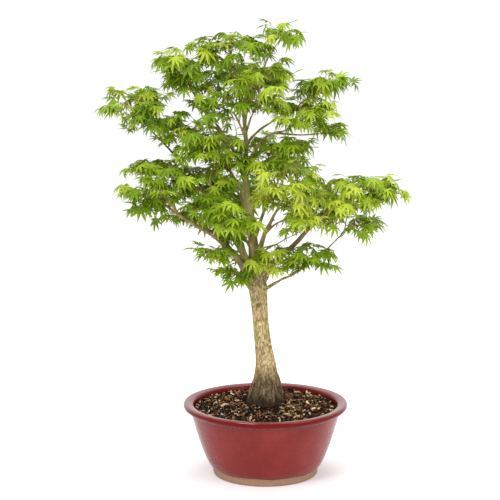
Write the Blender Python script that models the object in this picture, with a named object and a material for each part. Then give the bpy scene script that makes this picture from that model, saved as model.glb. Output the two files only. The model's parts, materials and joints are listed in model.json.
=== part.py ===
"""Maple bonsai in a round glazed pot: pot, drain screens and their wires, soil, the woody tree
and its leafy shoots. Metres, +Z up. The origin is the centre of the pot's base, on the table."""

import itertools
import math
import random

import bmesh
import bpy
from mathutils import Matrix, Vector
from mathutils.bvhtree import BVHTree

# Pot
POT_SIDES = 36
POT_HEIGHT = 0.134
NECK_RADIUS = 0.1375  # outside of the wall under the lip
LIP_OVERHANG = 0.014  # how far the rolled lip stands out from the neck
LIP_WIDTH = 0.018  # across the top of the lip
LIP_ROLL = 0.018  # height of the lip's roll and the cove under it
LIP_ROUND = 0.004  # rounding of the lip's outer edge
LIP_SLOPE = 0.0025  # how far the lip's top falls towards the soil
FOOT_RADIUS = 0.0965
FOOT_HEIGHT = 0.015
FOOT_BEVEL = 0.0015
GLAZE_STEP = 0.003  # how far the glazed wall stands proud of the foot
WALL = 0.0075
FLOOR = 0.008  # thickness of the pot's floor
FLOOR_ROUND = 0.012  # where the wall curves in to the floor
RECESS = 0.005  # clear height under the floor
FOOT_RING_WIDTH = 0.016
BOSS_RADIUS = 0.018  # middle foot, which stops the floor sagging in the kiln
NOTCH_WIDTH = 0.014
NOTCH_HEIGHT = 0.0035
NOTCH_ANGLES = (30, 150)  # degrees; the drain notches are at the back

# Drainage
HOLE_COUNT = 3
HOLE_RADIUS = 0.0095
HOLE_CIRCLE = 0.050
SCREEN_RADIUS = 0.017
SCREEN_THICKNESS = 0.0012
SCREEN_HOLE = 0.0024  # half diagonal of each square hole
SCREEN_PITCH = 0.0062
WIRE_RADIUS = 0.0006
WIRE_FOOT = 0.009  # how far each end runs out under the floor

# Soil
SOIL_DROP = 0.0095  # below the lip at the pot's wall
SOIL_MOUND = 0.011  # rise towards the trunk

# Tree
ROOT_DEPTH = 0.040  # how far the trunk's base reaches below the soil
LEADER_FOOT = 0.020  # shares of the leader's length count from this far below the soil
ROOT_COUNT = 6
ROOT_REACH = 0.062
TRUNK_SIDES = 12
LIMB_SIDES = 6
TWIG_SIDES = 4
TWIG_RADIUS = 0.0011
CROWN_SCALE = 1.0  # size of the crown about the fork

# Leafy shoots
STEM_LENGTH = 0.024
STEM_RADIUS = 0.0010
STEM_SIDES = 4
STEM_RISES = (0.35, 0.0, -0.4, 0.8)  # tried in turn, until the stem is clear of the wood
STEM_TURNS = (0, 30, -30, 60, -60)  # degrees
LEAF_SIZE = 0.027  # from the blade's centre to the tip of its middle lobe
LEAF_THICKNESS = 0.0012
PETIOLE_LENGTH = 0.015
PETIOLE_RADIUS = 0.00045
LEAF_TRIES = 14

# Clearances
GAP = 0.0004  # between pieces that touch
ROOT_GAP = 0.0007  # between the roots and the soil round them
SCREEN_ROOM = 0.0016  # between the screens and the soil over them

LIP_RADIUS = NECK_RADIUS + LIP_OVERHANG
FLOOR_TOP = RECESS + FLOOR
SOIL_LEVEL = POT_HEIGHT - SOIL_DROP

# The leader, from the soil up: (x, y, height over the soil) and radius.
LEADER = [
    ((0.000, 0.000, 0.000), 0.0385),
    ((0.000, 0.000, 0.012), 0.0362),
    ((0.001, 0.000, 0.025), 0.0328),
    ((0.002, 0.000, 0.042), 0.0290),
    ((0.002, 0.000, 0.055), 0.0248),
    ((0.001, 0.000, 0.068), 0.0208),
    ((0.000, 0.000, 0.088), 0.0184),
    ((-0.005, 0.000, 0.125), 0.0157),
    ((-0.009, 0.000, 0.165), 0.0147),
    ((-0.012, 0.000, 0.200), 0.0158),
    ((-0.015, 0.000, 0.230), 0.0180),
    ((-0.018, 0.000, 0.255), 0.0150),
    ((-0.021, 0.002, 0.290), 0.0106),
    ((-0.026, 0.007, 0.340), 0.0074),
    ((-0.035, 0.010, 0.400), 0.0054),
    ((-0.036, 0.004, 0.450), 0.0048),
    ((-0.036, 0.000, 0.500), 0.0040),
    ((-0.039, 0.000, 0.545), 0.0034),
    ((-0.030, 0.002, 0.580), 0.0028),
    ((-0.010, 0.002, 0.610), 0.0023),
    ((0.003, 0.000, 0.645), 0.0018),
]
FORK = Vector((-0.018, 0.0, 0.245))  # where the crown starts, over the soil

# Each branch leaves its parent at `leaves`, a share of the parent's length, and runs through
# `via` to `tip`, in x, y and height over the soil. Its pad of foliage has these half sizes
# and this number of leafy shoots. A branch with no shoots only carries others.
BRANCHES = {
    "apex": dict(parent="leader", leaves=0.985, thick=0.0018,
                 via=[(0.012, 0.001, 0.658)], tip=(0.027, 0.000, 0.678),
                 pad=(0.011, 0.015, 0.013), shoots=1),
    "top_middle": dict(parent="leader", leaves=0.835, thick=0.0028,
                       via=[(-0.050, -0.002, 0.595)], tip=(-0.062, -0.005, 0.650),
                       pad=(0.045, 0.046, 0.017), shoots=2),
    "top_right": dict(parent="leader", leaves=0.930, thick=0.0022,
                      via=[(0.000, 0.008, 0.598)], tip=(-0.001, 0.014, 0.604),
                      pad=(0.031, 0.034, 0.018), shoots=1),
    "top_front": dict(parent="leader", leaves=0.785, thick=0.0026,
                      via=[(-0.024, -0.035, 0.545)], tip=(-0.010, -0.062, 0.570),
                      pad=(0.043, 0.034, 0.029), shoots=2),
    "top_back": dict(parent="leader", leaves=0.800, thick=0.0026,
                     via=[(-0.034, 0.050, 0.552)], tip=(-0.036, 0.092, 0.590),
                     pad=(0.054, 0.040, 0.027), shoots=1),
    "top_left": dict(parent="leader", leaves=0.770, thick=0.0024,
                     via=[(-0.056, -0.020, 0.545)], tip=(-0.070, -0.032, 0.552),
                     pad=(0.032, 0.030, 0.027), shoots=1),
    "upper_left": dict(parent="leader", leaves=0.655, thick=0.0048,
                       via=[(-0.054, 0.006, 0.468), (-0.079, 0.010, 0.510),
                            (-0.108, 0.018, 0.548)],
                       tip=(-0.132, 0.022, 0.592), pad=(0.038, 0.044, 0.022), shoots=1),
    "crown_left": dict(parent="upper_left", leaves=0.800, thick=0.0026,
                       via=[(-0.136, -0.006, 0.592)], tip=(-0.152, -0.018, 0.629),
                       pad=(0.027, 0.032, 0.016), shoots=1),
    "inner_left": dict(parent="upper_left", leaves=0.500, thick=0.0030,
                       via=[(-0.100, -0.004, 0.523), (-0.122, -0.018, 0.524)], tip=(-0.148, -0.035, 0.498),
                       pad=(0.038, 0.036, 0.018), shoots=1),
    "middle_high": dict(parent="leader", leaves=0.575, thick=0.0032,
                        via=[(-0.056, -0.016, 0.430), (-0.078, -0.026, 0.458)], tip=(-0.100, -0.032, 0.478),
                        pad=(0.040, 0.034, 0.027), shoots=1),
    "high_left": dict(parent="leader", leaves=0.385, thick=0.0072,
                      via=[(-0.051, 0.014, 0.303), (-0.084, 0.028, 0.358),
                           (-0.128, 0.035, 0.420), (-0.174, 0.030, 0.475)],
                      tip=(-0.239, 0.020, 0.543), pad=(0.038, 0.040, 0.027), shoots=2),
    "high_left_inner": dict(parent="high_left", leaves=0.800, thick=0.0024,
                            via=[(-0.196, 0.012, 0.514)], tip=(-0.190, -0.004, 0.528),
                            pad=(0.027, 0.027, 0.018), shoots=1),
    "broad_left": dict(parent="leader", leaves=0.350, thick=0.0085,
                       via=[(-0.054, -0.016, 0.287), (-0.097, -0.030, 0.329),
                            (-0.150, -0.036, 0.362)],
                       tip=(-0.188, -0.036, 0.404), pad=(0.054, 0.052, 0.027), shoots=2),
    "left_crest": dict(parent="broad_left", leaves=0.850, thick=0.0026,
                       via=[(-0.190, -0.030, 0.422)], tip=(-0.190, -0.026, 0.444),
                       pad=(0.047, 0.040, 0.008), shoots=1),
    "outer_left": dict(parent="broad_left", leaves=0.780, thick=0.0028,
                       via=[(-0.190, -0.014, 0.384)], tip=(-0.213, -0.006, 0.383),
                       pad=(0.029, 0.032, 0.018), shoots=1),
    "low_left": dict(parent="broad_left", leaves=0.220, thick=0.0045,
                     via=[(-0.082, 0.006, 0.320), (-0.112, 0.030, 0.332)], tip=(-0.133, 0.046, 0.341),
                     pad=(0.045, 0.042, 0.018), shoots=1),
    "middle_left": dict(parent="leader", leaves=0.375, thick=0.0076,
                        via=[(-0.047, -0.012, 0.302), (-0.072, -0.034, 0.348)], tip=(-0.104, -0.062, 0.396),
                        pad=(0.043, 0.038, 0.035), shoots=2),
    "middle": dict(parent="leader", leaves=0.505, thick=0.0034,
                   via=[(-0.045, -0.012, 0.392)], tip=(-0.068, -0.026, 0.430),
                   pad=(0.032, 0.030, 0.024), shoots=1),
    "fork_left": dict(parent="leader", leaves=0.372, thick=0.0024,
                      via=[(-0.038, -0.014, 0.300)], tip=(-0.054, -0.022, 0.328),
                      pad=(0.016, 0.015, 0.014), shoots=1),
    "front": dict(parent="leader", leaves=0.365, thick=0.0058,
                  via=[(-0.021, -0.042, 0.292), (-0.032, -0.082, 0.336)], tip=(-0.045, -0.112, 0.358),
                  pad=(0.038, 0.034, 0.029), shoots=1),
    "front_right": dict(parent="leader", leaves=0.400, thick=0.0058,
                        via=[(-0.006, -0.030, 0.322), (0.010, -0.052, 0.356),
                             (0.022, -0.072, 0.385)],
                        tip=(0.030, -0.092, 0.400), pad=(0.041, 0.040, 0.030), shoots=2),
    "front_low": dict(parent="front_right", leaves=0.480, thick=0.0026,
                      via=[(0.022, -0.064, 0.356)], tip=(0.048, -0.076, 0.368),
                      pad=(0.031, 0.028, 0.016), shoots=1),
    "hanging_right": dict(parent="front_right", leaves=0.250, thick=0.0020,
                          via=[(0.026, -0.044, 0.318)], tip=(0.058, -0.050, 0.336),
                          pad=(0.013, 0.013, 0.008), shoots=1),
    "upper_right": dict(parent="leader", leaves=0.725, thick=0.0036,
                        via=[(-0.030, 0.005, 0.494), (-0.003, 0.015, 0.519),
                             (0.057, 0.028, 0.556)],
                        tip=(0.097, 0.030, 0.586), pad=(0.034, 0.034, 0.013), shoots=1),
    "middle_right": dict(parent="leader", leaves=0.672, thick=0.0042,
                         via=[(-0.021, -0.010, 0.478), (0.004, -0.020, 0.507),
                              (0.034, -0.030, 0.516)],
                         tip=(0.056, -0.036, 0.536), pad=(0.041, 0.040, 0.024), shoots=2),
    "middle_right_low": dict(parent="middle_right", leaves=0.300, thick=0.0024,
                             via=[(0.012, -0.010, 0.480)], tip=(0.036, -0.014, 0.480),
                             pad=(0.031, 0.028, 0.010), shoots=1),
    "inner_middle": dict(parent="leader", leaves=0.560, thick=0.0024,
                         via=[(-0.014, -0.004, 0.430)], tip=(0.004, -0.014, 0.450),
                         pad=(0.031, 0.027, 0.018), shoots=1),
    "right_tip": dict(parent="middle_right", leaves=0.660, thick=0.0022,
                      via=[(0.072, -0.022, 0.508)], tip=(0.114, -0.010, 0.512),
                      pad=(0.014, 0.011, 0.005), shoots=1),
    "far_right": dict(parent="leader", leaves=0.358, thick=0.0080,
                      via=[(0.012, -0.001, 0.270), (0.051, -0.006, 0.306),
                           (0.094, -0.016, 0.355), (0.130, -0.020, 0.382)],
                      tip=(0.185, -0.020, 0.402), pad=(0.039, 0.042, 0.018), shoots=2),
    "right_shoulder": dict(parent="far_right", leaves=0.680, thick=0.0028,
                           via=[(0.124, -0.034, 0.390)], tip=(0.140, -0.050, 0.394),
                           pad=(0.036, 0.030, 0.016), shoots=1),
    "inner_right": dict(parent="far_right", leaves=0.520, thick=0.0032,
                        via=[(0.090, 0.022, 0.362)], tip=(0.106, 0.042, 0.379),
                        pad=(0.032, 0.034, 0.021), shoots=1),
    "lower_right": dict(parent="leader", leaves=0.350, thick=0.0036,
                        via=[(0.028, -0.015, 0.243), (0.052, -0.026, 0.257)], tip=(0.075, -0.042, 0.282),
                        pad=(0.034, 0.036, 0.018), shoots=1),
    "outer_right": dict(parent="lower_right", leaves=0.600, thick=0.0028,
                        via=[(0.098, -0.014, 0.288), (0.130, 0.000, 0.316)], tip=(0.153, 0.006, 0.341),
                        pad=(0.047, 0.038, 0.021), shoots=2),
    "low_left_twig": dict(parent="leader", leaves=0.345, thick=0.0024,
                          via=[(-0.062, -0.014, 0.266)], tip=(-0.098, -0.022, 0.291),
                          pad=(0.016, 0.011, 0.007), shoots=1),
    "lowest_twig": dict(parent="leader", leaves=0.322, thick=0.0020,
                        via=[(-0.040, -0.010, 0.240)], tip=(-0.056, -0.014, 0.253),
                        pad=(0.014, 0.011, 0.010), shoots=1),
    "trunk_twig": dict(parent="leader", leaves=0.338, thick=0.0020,
                       via=[(-0.006, -0.032, 0.252)], tip=(0.005, -0.048, 0.271),
                       pad=(0.016, 0.009, 0.006), shoots=1),
    "fork_twig": dict(parent="leader", leaves=0.365, thick=0.0020,
                      via=[(0.000, -0.026, 0.270)], tip=(0.012, -0.042, 0.290),
                      pad=(0.011, 0.009, 0.006), shoots=1),
    "back": dict(parent="leader", leaves=0.370, thick=0.0064,
                 via=[(-0.019, 0.046, 0.302), (-0.022, 0.094, 0.338)], tip=(-0.028, 0.138, 0.376),
                 pad=(0.050, 0.042, 0.029), shoots=2),
    "back_left": dict(parent="back", leaves=0.300, thick=0.0036,
                      via=[(-0.050, 0.072, 0.324), (-0.082, 0.100, 0.344)], tip=(-0.112, 0.122, 0.362),
                      pad=(0.038, 0.036, 0.022), shoots=1),
    "back_right": dict(parent="back", leaves=0.480, thick=0.0038,
                       via=[(0.004, 0.096, 0.366), (0.034, 0.114, 0.392)], tip=(0.062, 0.126, 0.412),
                       pad=(0.038, 0.036, 0.022), shoots=1),
    "back_high": dict(parent="back", leaves=0.620, thick=0.0030,
                      via=[(-0.030, 0.108, 0.400), (-0.040, 0.106, 0.440)], tip=(-0.050, 0.108, 0.480),
                      pad=(0.041, 0.034, 0.024), shoots=1),
}






GOLDEN_ANGLE = math.pi * (3 - math.sqrt(5))


def clear_scene():
    for obj in list(bpy.data.objects):
        bpy.data.objects.remove(obj)


def material(name, colour, roughness, metallic=0.0):
    """A plain Principled finish, made once for each name."""
    made = bpy.data.materials.get(name)
    if made is None:
        made = bpy.data.materials.new(name)
        made.use_nodes = True
        shader = made.node_tree.nodes["Principled BSDF"]
        shader.inputs["Base Color"].default_value = (*colour, 1.0)
        shader.inputs["Roughness"].default_value = roughness
        shader.inputs["Metallic"].default_value = metallic
    return made


def finish_of(name):
    finishes = {
        "red_glaze": ((0.26, 0.035, 0.03), 0.15),
        "bark": ((0.52, 0.43, 0.28), 0.85),
        "soil": ((0.05, 0.03, 0.02), 0.95),
        "leaf": ((0.22, 0.38, 0.04), 0.5),
        "screen": ((0.03, 0.03, 0.03), 0.6),
    }
    if name == "wire":
        return material("wire", (0.6, 0.6, 0.6), 0.35, metallic=1.0)
    return material(name, *finishes[name])


def add_object(name, bm, finish):
    """A named object from a bmesh, its faces pointing out and shaded smooth off its sharp edges."""
    bmesh.ops.recalc_face_normals(bm, faces=bm.faces)
    mesh = bpy.data.meshes.new(name)
    bm.to_mesh(mesh)
    bm.free()
    mesh.shade_smooth()
    mesh.set_sharp_from_angle(angle=math.radians(35))
    mesh.materials.append(finish_of(finish))
    obj = bpy.data.objects.new(name, mesh)
    bpy.context.scene.collection.objects.link(obj)
    return obj


def turned(name, profile, sides, finish):
    """A body turned round Z from (radius, height) points that start and end on the axis."""
    bm = bmesh.new()
    points = [bm.verts.new((radius, 0, height)) for radius, height in profile]
    edges = [bm.edges.new(pair) for pair in zip(points, points[1:])]
    bmesh.ops.spin(bm, geom=points + edges, cent=(0, 0, 0), axis=(0, 0, 1),
                   angle=2 * math.pi, steps=sides, use_merge=True)
    bmesh.ops.remove_doubles(bm, verts=bm.verts, dist=1e-6)
    return add_object(name, bm, finish)


def prism(name, radius, low, high, sides, place=(0, 0), turn=0.0, finish="screen"):
    """An upright prism between two heights, centred on `place`."""
    bm = bmesh.new()
    spot = Matrix.Translation((*place, (low + high) / 2)) @ Matrix.Rotation(turn, 4, "Z")
    bmesh.ops.create_cone(bm, cap_ends=True, segments=sides, radius1=radius, radius2=radius,
                          depth=high - low, matrix=spot)
    return add_object(name, bm, finish)


def smooth_path(points, steps):
    """Points on a Catmull-Rom curve through these points, `steps` to each stretch."""
    ends = [points[0] * 2 - points[1], *points, points[-1] * 2 - points[-2]]
    path = []
    for a, b, c, d in zip(ends, ends[1:], ends[2:], ends[3:]):
        for i in range(steps):
            t = i / steps
            path.append(0.5 * (2 * b + (c - a) * t + (2 * a - 5 * b + 4 * c - d) * t * t
                               + (3 * b - 3 * c + d - a) * t ** 3))
    return path + [points[-1].copy()]


def along(path, share):
    """The point and direction at this share of a path's length."""
    lengths = [(b - a).length for a, b in zip(path, path[1:])]
    left = share * sum(lengths)
    for a, b, length in zip(path, path[1:], lengths):
        if left <= length:
            return a.lerp(b, left / length), (b - a).normalized()
        left -= length
    return path[-1], (path[-1] - path[-2]).normalized()


def tube_geometry(path, radii, sides):
    """Vertices and faces of a closed round tube. Its rings keep the same turn all the way."""
    verts = []
    side = Vector((0, 1, 0))
    if abs((path[-1] - path[0]).normalized().y) > 0.9:
        side = Vector((1, 0, 0))
    for i, (point, radius) in enumerate(zip(path, radii)):
        way = (path[min(i + 1, len(path) - 1)] - path[max(i - 1, 0)]).normalized()
        side = (side - way * side.dot(way)).normalized()
        up = way.cross(side)
        for k in range(sides):
            turn = 2 * math.pi * k / sides
            verts.append(point + radius * (math.cos(turn) * side + math.sin(turn) * up))
    faces = []
    for ring in range(len(path) - 1):
        low, high = ring * sides, (ring + 1) * sides
        for k in range(sides):
            n = (k + 1) % sides
            faces.append((low + k, low + n, high + n, high + k))
    faces.append(tuple(reversed(range(sides))))
    faces.append(tuple(range((len(path) - 1) * sides, len(path) * sides)))
    return verts, faces


def add_solid(name, geometry, finish):
    """A named object from a list of vertices and a list of faces."""
    verts, faces = geometry
    bm = bmesh.new()
    points = [bm.verts.new(v) for v in verts]
    for face in faces:
        bm.faces.new([points[i] for i in face])
    return add_object(name, bm, finish)


def tube(name, path, radii, sides, finish):
    return add_solid(name, tube_geometry(path, radii, sides), finish)


def combine(target, others, operation):
    """Joins the others to the target, or cuts them from it, and removes them."""
    group = bpy.data.collections.new("operands")
    for other in others:
        group.objects.link(other)
    boolean = target.modifiers.new("combine", "BOOLEAN")
    boolean.operation = operation
    boolean.solver = "EXACT"
    boolean.operand_type = "COLLECTION"
    boolean.collection = group
    bpy.context.view_layer.update()
    evaluated = target.evaluated_get(bpy.context.evaluated_depsgraph_get())
    whole = bpy.data.meshes.new_from_object(evaluated)
    target.modifiers.clear()
    target.data = whole
    for other in others:
        bpy.data.objects.remove(other)
    bpy.data.collections.remove(group)
    return target


# --- Pot ---------------------------------------------------------------------------------


def outer_radius(height):
    """Outside of the glazed wall, which swells quickly over the foot and slowly to the neck."""
    foot = FOOT_RADIUS + GLAZE_STEP
    share = (height - FOOT_HEIGHT) / (POT_HEIGHT - LIP_ROLL - FOOT_HEIGHT)
    return foot + (NECK_RADIUS - foot) * min(1.0, max(0.0, share)) ** 0.72


def inner_radius(height):
    """Inside of the wall. Near the floor it curves in to meet it."""
    rise = max(0.0, height - FLOOR_TOP)
    tuck = FLOOR_ROUND * max(0.0, 1 - rise / FLOOR_ROUND) ** 2
    return outer_radius(max(height, FOOT_HEIGHT + FLOOR_ROUND / 3)) - WALL - tuck


def wall_heights():
    top = POT_HEIGHT - LIP_ROLL
    shares = (0.04, 0.15, 0.33, 0.6, 1.0)
    return [FOOT_HEIGHT + share * (top - FOOT_HEIGHT) for share in shares]


def make_pot():
    ring_inside = FOOT_RADIUS - FOOT_RING_WIDTH
    under = [(0, 0), (BOSS_RADIUS, 0), (BOSS_RADIUS, RECESS), (ring_inside, RECESS),
             (ring_inside, 0)]
    foot = [(FOOT_RADIUS - 2 * FOOT_BEVEL, 0), (FOOT_RADIUS - FOOT_BEVEL / 2, FOOT_BEVEL),
            (FOOT_RADIUS + FOOT_BEVEL, FOOT_HEIGHT),
            (FOOT_RADIUS + GLAZE_STEP, FOOT_HEIGHT + FOOT_BEVEL)]
    wall = [(outer_radius(height), height) for height in wall_heights()]
    cove = POT_HEIGHT - LIP_ROLL
    lip = [(NECK_RADIUS + LIP_ROUND / 2, cove + LIP_ROUND / 2),
           (LIP_RADIUS - LIP_ROUND, cove + 0.35 * LIP_ROLL),
           (LIP_RADIUS, cove + 0.6 * LIP_ROLL),
           (LIP_RADIUS - LIP_ROUND / 4, POT_HEIGHT - LIP_ROUND / 2),
           (LIP_RADIUS - LIP_ROUND, POT_HEIGHT),
           (LIP_RADIUS - LIP_WIDTH, POT_HEIGHT - LIP_SLOPE)]
    inside_heights = [POT_HEIGHT - LIP_ROLL / 3, *reversed(wall_heights()[1:])]
    inside_heights.append(FLOOR_TOP + FLOOR_ROUND / 3)
    inside = [(inner_radius(height), height) for height in inside_heights]
    inside += [(inner_radius(FLOOR_TOP), FLOOR_TOP), (0, FLOOR_TOP)]
    pot = turned("pot", under + foot + wall + lip + inside, POT_SIDES, "red_glaze")
    cutters = [prism("drain", HOLE_RADIUS, -RECESS, FLOOR_TOP + FLOOR, 16, place)
               for place in hole_places()]
    for angle in NOTCH_ANGLES:
        way = Matrix.Rotation(math.radians(angle), 4, "Z")
        middle = FOOT_RADIUS - FOOT_RING_WIDTH / 2
        size = Matrix.Diagonal((3 * FOOT_RING_WIDTH, NOTCH_WIDTH, 2 * NOTCH_HEIGHT, 1))
        bm = bmesh.new()
        bmesh.ops.create_cube(bm, size=1, matrix=way @ Matrix.Translation((middle, 0, 0)) @ size)
        cutters.append(add_object("notch", bm, "red_glaze"))
    return combine(pot, cutters, "DIFFERENCE")


def hole_places():
    turns = [math.radians(90) + 2 * math.pi * k / HOLE_COUNT for k in range(HOLE_COUNT)]
    return [(HOLE_CIRCLE * math.cos(a), HOLE_CIRCLE * math.sin(a)) for a in turns]


def make_screens():
    low = FLOOR_TOP + GAP
    for number, (x, y) in enumerate(hole_places(), 1):
        screen = prism(f"drain_screen_{number}", SCREEN_RADIUS, low, low + SCREEN_THICKNESS, 20,
                       (x, y))
        spots = [(0, 0)] + [(SCREEN_PITCH * math.cos(k * math.pi / 3),
                             SCREEN_PITCH * math.sin(k * math.pi / 3)) for k in range(6)]
        cutters = [prism("square", SCREEN_HOLE, low - GAP, low + 2 * SCREEN_THICKNESS, 4,
                         (x + a, y + b)) for a, b in spots]
        combine(screen, cutters, "DIFFERENCE")


def make_wires():
    """A staple over each screen, down through two of its holes and bent out under the floor."""
    over = FLOOR_TOP + GAP + SCREEN_THICKNESS + WIRE_RADIUS + GAP
    under = RECESS - WIRE_RADIUS - GAP
    leg = SCREEN_PITCH
    bend = 2.5 * WIRE_RADIUS
    half = [(0, over + GAP), (leg - bend, over), (leg, over - bend), (leg, under + bend),
            (leg + bend, under), (leg + WIRE_FOOT, under)]
    for number, (x, y) in enumerate(hole_places(), 1):
        points = [(-a, h) for a, h in reversed(half[1:])] + half
        curve = bpy.data.curves.new(f"screen_wire_{number}", "CURVE")
        curve.dimensions = "3D"
        curve.bevel_depth = WIRE_RADIUS
        curve.bevel_resolution = 1
        curve.use_fill_caps = True
        spline = curve.splines.new("POLY")
        spline.points.add(len(points) - 1)
        for spot, (a, h) in zip(spline.points, points):
            spot.co = (x + a, y, h, 1)
        curve.materials.append(finish_of("wire"))
        wire = bpy.data.objects.new(f"screen_wire_{number}", curve)
        bpy.context.scene.collection.objects.link(wire)


# --- Tree --------------------------------------------------------------------------------


def over_soil(x, y, height):
    """A point of the tree. The crown grows or shrinks about the fork."""
    point = Vector((x, y, height))
    if height > FORK.z:
        point = FORK + (point - FORK) * CROWN_SCALE
    return point + Vector((0, 0, SOIL_LEVEL))


def leader_path():
    buried = [over_soil(0, 0, -ROOT_DEPTH)]
    return buried + [over_soil(*place) for place, _ in LEADER]


def leader_radii(extra=0.0):
    first = LEADER[0][1] * 0.8
    return [first + extra] + [radius + extra for _, radius in LEADER]


def root_tubes(name, extra=0.0):
    """Surface roots, which leave the flare and dive into the soil. `extra` makes their cutter."""
    tubes = []
    for k in range(ROOT_COUNT):
        angle = 2 * math.pi * (k + 0.3 * math.sin(2.1 * k)) / ROOT_COUNT + 0.25
        reach = ROOT_REACH * (1 + 0.16 * math.sin(3.7 * k + 1))
        way = Vector((math.cos(angle), math.sin(angle), 0))
        start = over_soil(0, 0, 0.016) + way * 0.012
        points = [start, over_soil(0, 0, 0.002) + way * 0.034,
                  over_soil(0, 0, -0.008) + way * 0.046,
                  over_soil(0, 0, -0.020) + way * (reach + extra)]
        radii = [0.011, 0.0075, 0.0052, 0.0030]
        path = smooth_path(points, 1)
        tubes.append(tube(f"{name}_{k}", path, [radius + extra for radius in radii],
                          LIMB_SIDES, "bark"))
    return tubes


def branch_paths():
    """Each branch's own smooth path, from a point inside its parent to its tip. Paths are laid
    out at full size, so that a crown of another size still branches at the same places."""
    routes = {"leader": [Vector((0, 0, -ROOT_DEPTH))] + [Vector(place) for place, _ in LEADER]}
    for name, branch in BRANCHES.items():
        start, _ = along(routes[branch["parent"]], branch["leaves"])
        points = [start] + [Vector(place) for place in branch["via"]] + [Vector(branch["tip"])]
        routes[name] = smooth_path(points, 2 if branch["thick"] > 0.004 else 1)
    return {name: [over_soil(*point) for point in route] for name, route in routes.items()}


def pad_spots(branch):
    """The places in a pad of foliage where its leafy shoots start, like seeds in a sunflower."""
    wide, deep, high = (CROWN_SCALE * half for half in branch["pad"])
    count = branch["shoots"]
    middle = over_soil(*branch["tip"]) + Vector((0, 0, high * 0.4))
    spots = []
    for k in range(count):
        share = math.sqrt((k + 0.5) / count) if count > 1 else 0.0
        angle = GOLDEN_ANGLE * k + 7 * (branch["tip"][0] + branch["tip"][2])
        spots.append(middle + Vector((wide * share * math.cos(angle),
                                      deep * share * math.sin(angle),
                                      high * (0.5 - share * share))))
    return spots


def twig_path(branch_path, number, count, spot):
    """A twig from the outer part of its branch to the start of a leafy shoot."""
    start, way = along(branch_path, 0.70 + 0.22 * number / max(count, 2))
    reach = (spot - start).length
    out = (spot - start).normalized()
    bend = start + (way + 2 * out).normalized() * reach * 0.5
    return [start, bend, spot]


def grow_wood():
    """The whole woody tree as one solid. Returns it with each shoot's start and direction."""
    paths = branch_paths()
    wood = tube("trunk_and_branches", leader_path(), leader_radii(), TRUNK_SIDES, "bark")
    pieces = root_tubes("root")
    starts = {}
    for name, branch in BRANCHES.items():
        path = paths[name]
        last = TWIG_RADIUS * 1.2
        radii = [branch["thick"] + (last - branch["thick"]) * (i / (len(path) - 1)) ** 0.8
                 for i in range(len(path))]
        sides = LIMB_SIDES if branch["thick"] > 0.004 else LIMB_SIDES - 1
        pieces.append(tube(name, path, radii, sides, "bark"))
        for k, spot in enumerate(pad_spots(branch)):
            twig = twig_path(path, k, branch["shoots"], spot)
            thick = [TWIG_RADIUS * 1.4, TWIG_RADIUS * 1.2, TWIG_RADIUS]
            pieces.append(tube("twig", twig, thick, TWIG_SIDES, "bark"))
            starts[f"shoot_{name}_{k + 1}"] = (spot, (twig[-1] - twig[-2]).normalized())
    return combine(wood, pieces, "UNION"), starts


# --- Leafy shoots ------------------------------------------------------------------------


def blade_geometry(centre, axes):
    """A five-pointed blade, thickest at its centre and thin at its edges. Its tips droop.
    `axes` are its forward, side and up."""
    forward, side, up = axes
    lobes = [(-98, 0.62, 0.30), (-70, 0.25, 0.05), (-46, 0.90, 0.34), (-23, 0.29, 0.04),
             (0, 1.00, 0.32), (23, 0.29, 0.04), (46, 0.90, 0.34), (70, 0.25, 0.05),
             (98, 0.62, 0.30), (180, 0.10, 0.02)]
    verts = []
    for turn, reach, droop in lobes:
        angle = math.radians(turn)
        flat = forward * math.cos(angle) + side * math.sin(angle)
        verts.append(centre + (flat * reach - up * droop) * LEAF_SIZE)
    count = len(lobes)
    verts += [centre + up * LEAF_THICKNESS / 2, centre - up * LEAF_THICKNESS / 2]
    faces = [(i, (i + 1) % count, count) for i in range(count)]
    faces += [((i + 1) % count, i, count + 1) for i in range(count)]
    return verts, faces


def petiole_geometry(node, centre):
    return tube_geometry([node, centre], [PETIOLE_RADIUS, PETIOLE_RADIUS * 0.85], 3)


class Room:
    """What is already in place, so that a new stem or leaf can be tried against it."""

    def __init__(self):
        self.placed = []

    def add(self, owner, geometry):
        self.placed.append((owner, *self.box(geometry[0]), BVHTree.FromPolygons(*geometry)))

    @staticmethod
    def box(verts):
        return [min(v[k] for v in verts) for k in range(3)], [max(v[k] for v in verts)
                                                              for k in range(3)]

    def is_free(self, geometry, leaving_out=None):
        low, high = self.box(geometry[0])
        tree = BVHTree.FromPolygons(*geometry)
        for owner, other_low, other_high, other in self.placed:
            near = all(low[k] <= other_high[k] and other_low[k] <= high[k] for k in range(3))
            if owner != leaving_out and near and tree.overlap(other):
                return False
        return True


def mesh_of(obj):
    return [v.co.copy() for v in obj.data.vertices], [tuple(p.vertices) for p in obj.data.polygons]


def leaf_axes(out, roll, nod):
    """A blade's forward, side and up: it points away from the stem and nods towards its tip."""
    forward = Vector((out.x, out.y, out.z * 0.5 - nod)).normalized()
    side = Vector((0, 0, 1)).cross(forward).normalized()
    side = (Matrix.Rotation(roll, 3, forward) @ side).normalized()
    return forward, side, forward.cross(side)


def stem_path(start, way, rise, turn):
    """A green stem's line. It starts a gap away from its twig, then rises and turns aside."""
    base = start + way * GAP
    bend = base + way * STEM_LENGTH * 0.3
    out = Matrix.Rotation(math.radians(turn), 3, "Z") @ way
    out = (out + Vector((0, 0, rise))).normalized()
    return [base, bend, bend + out * STEM_LENGTH * 0.7]


def stem_geometry(path):
    radii = [STEM_RADIUS, STEM_RADIUS * 0.9, STEM_RADIUS * 0.75]
    return tube_geometry(path, radii, STEM_SIDES)


def clear_stem(start, way, room):
    """The first of a stem's possible lines that is clear of all that is in place."""
    for rise, turn in itertools.product(STEM_RISES, STEM_TURNS):
        path = stem_path(start, way, rise, turn)
        if room.is_free(stem_geometry(path)):
            break
    return path


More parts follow.
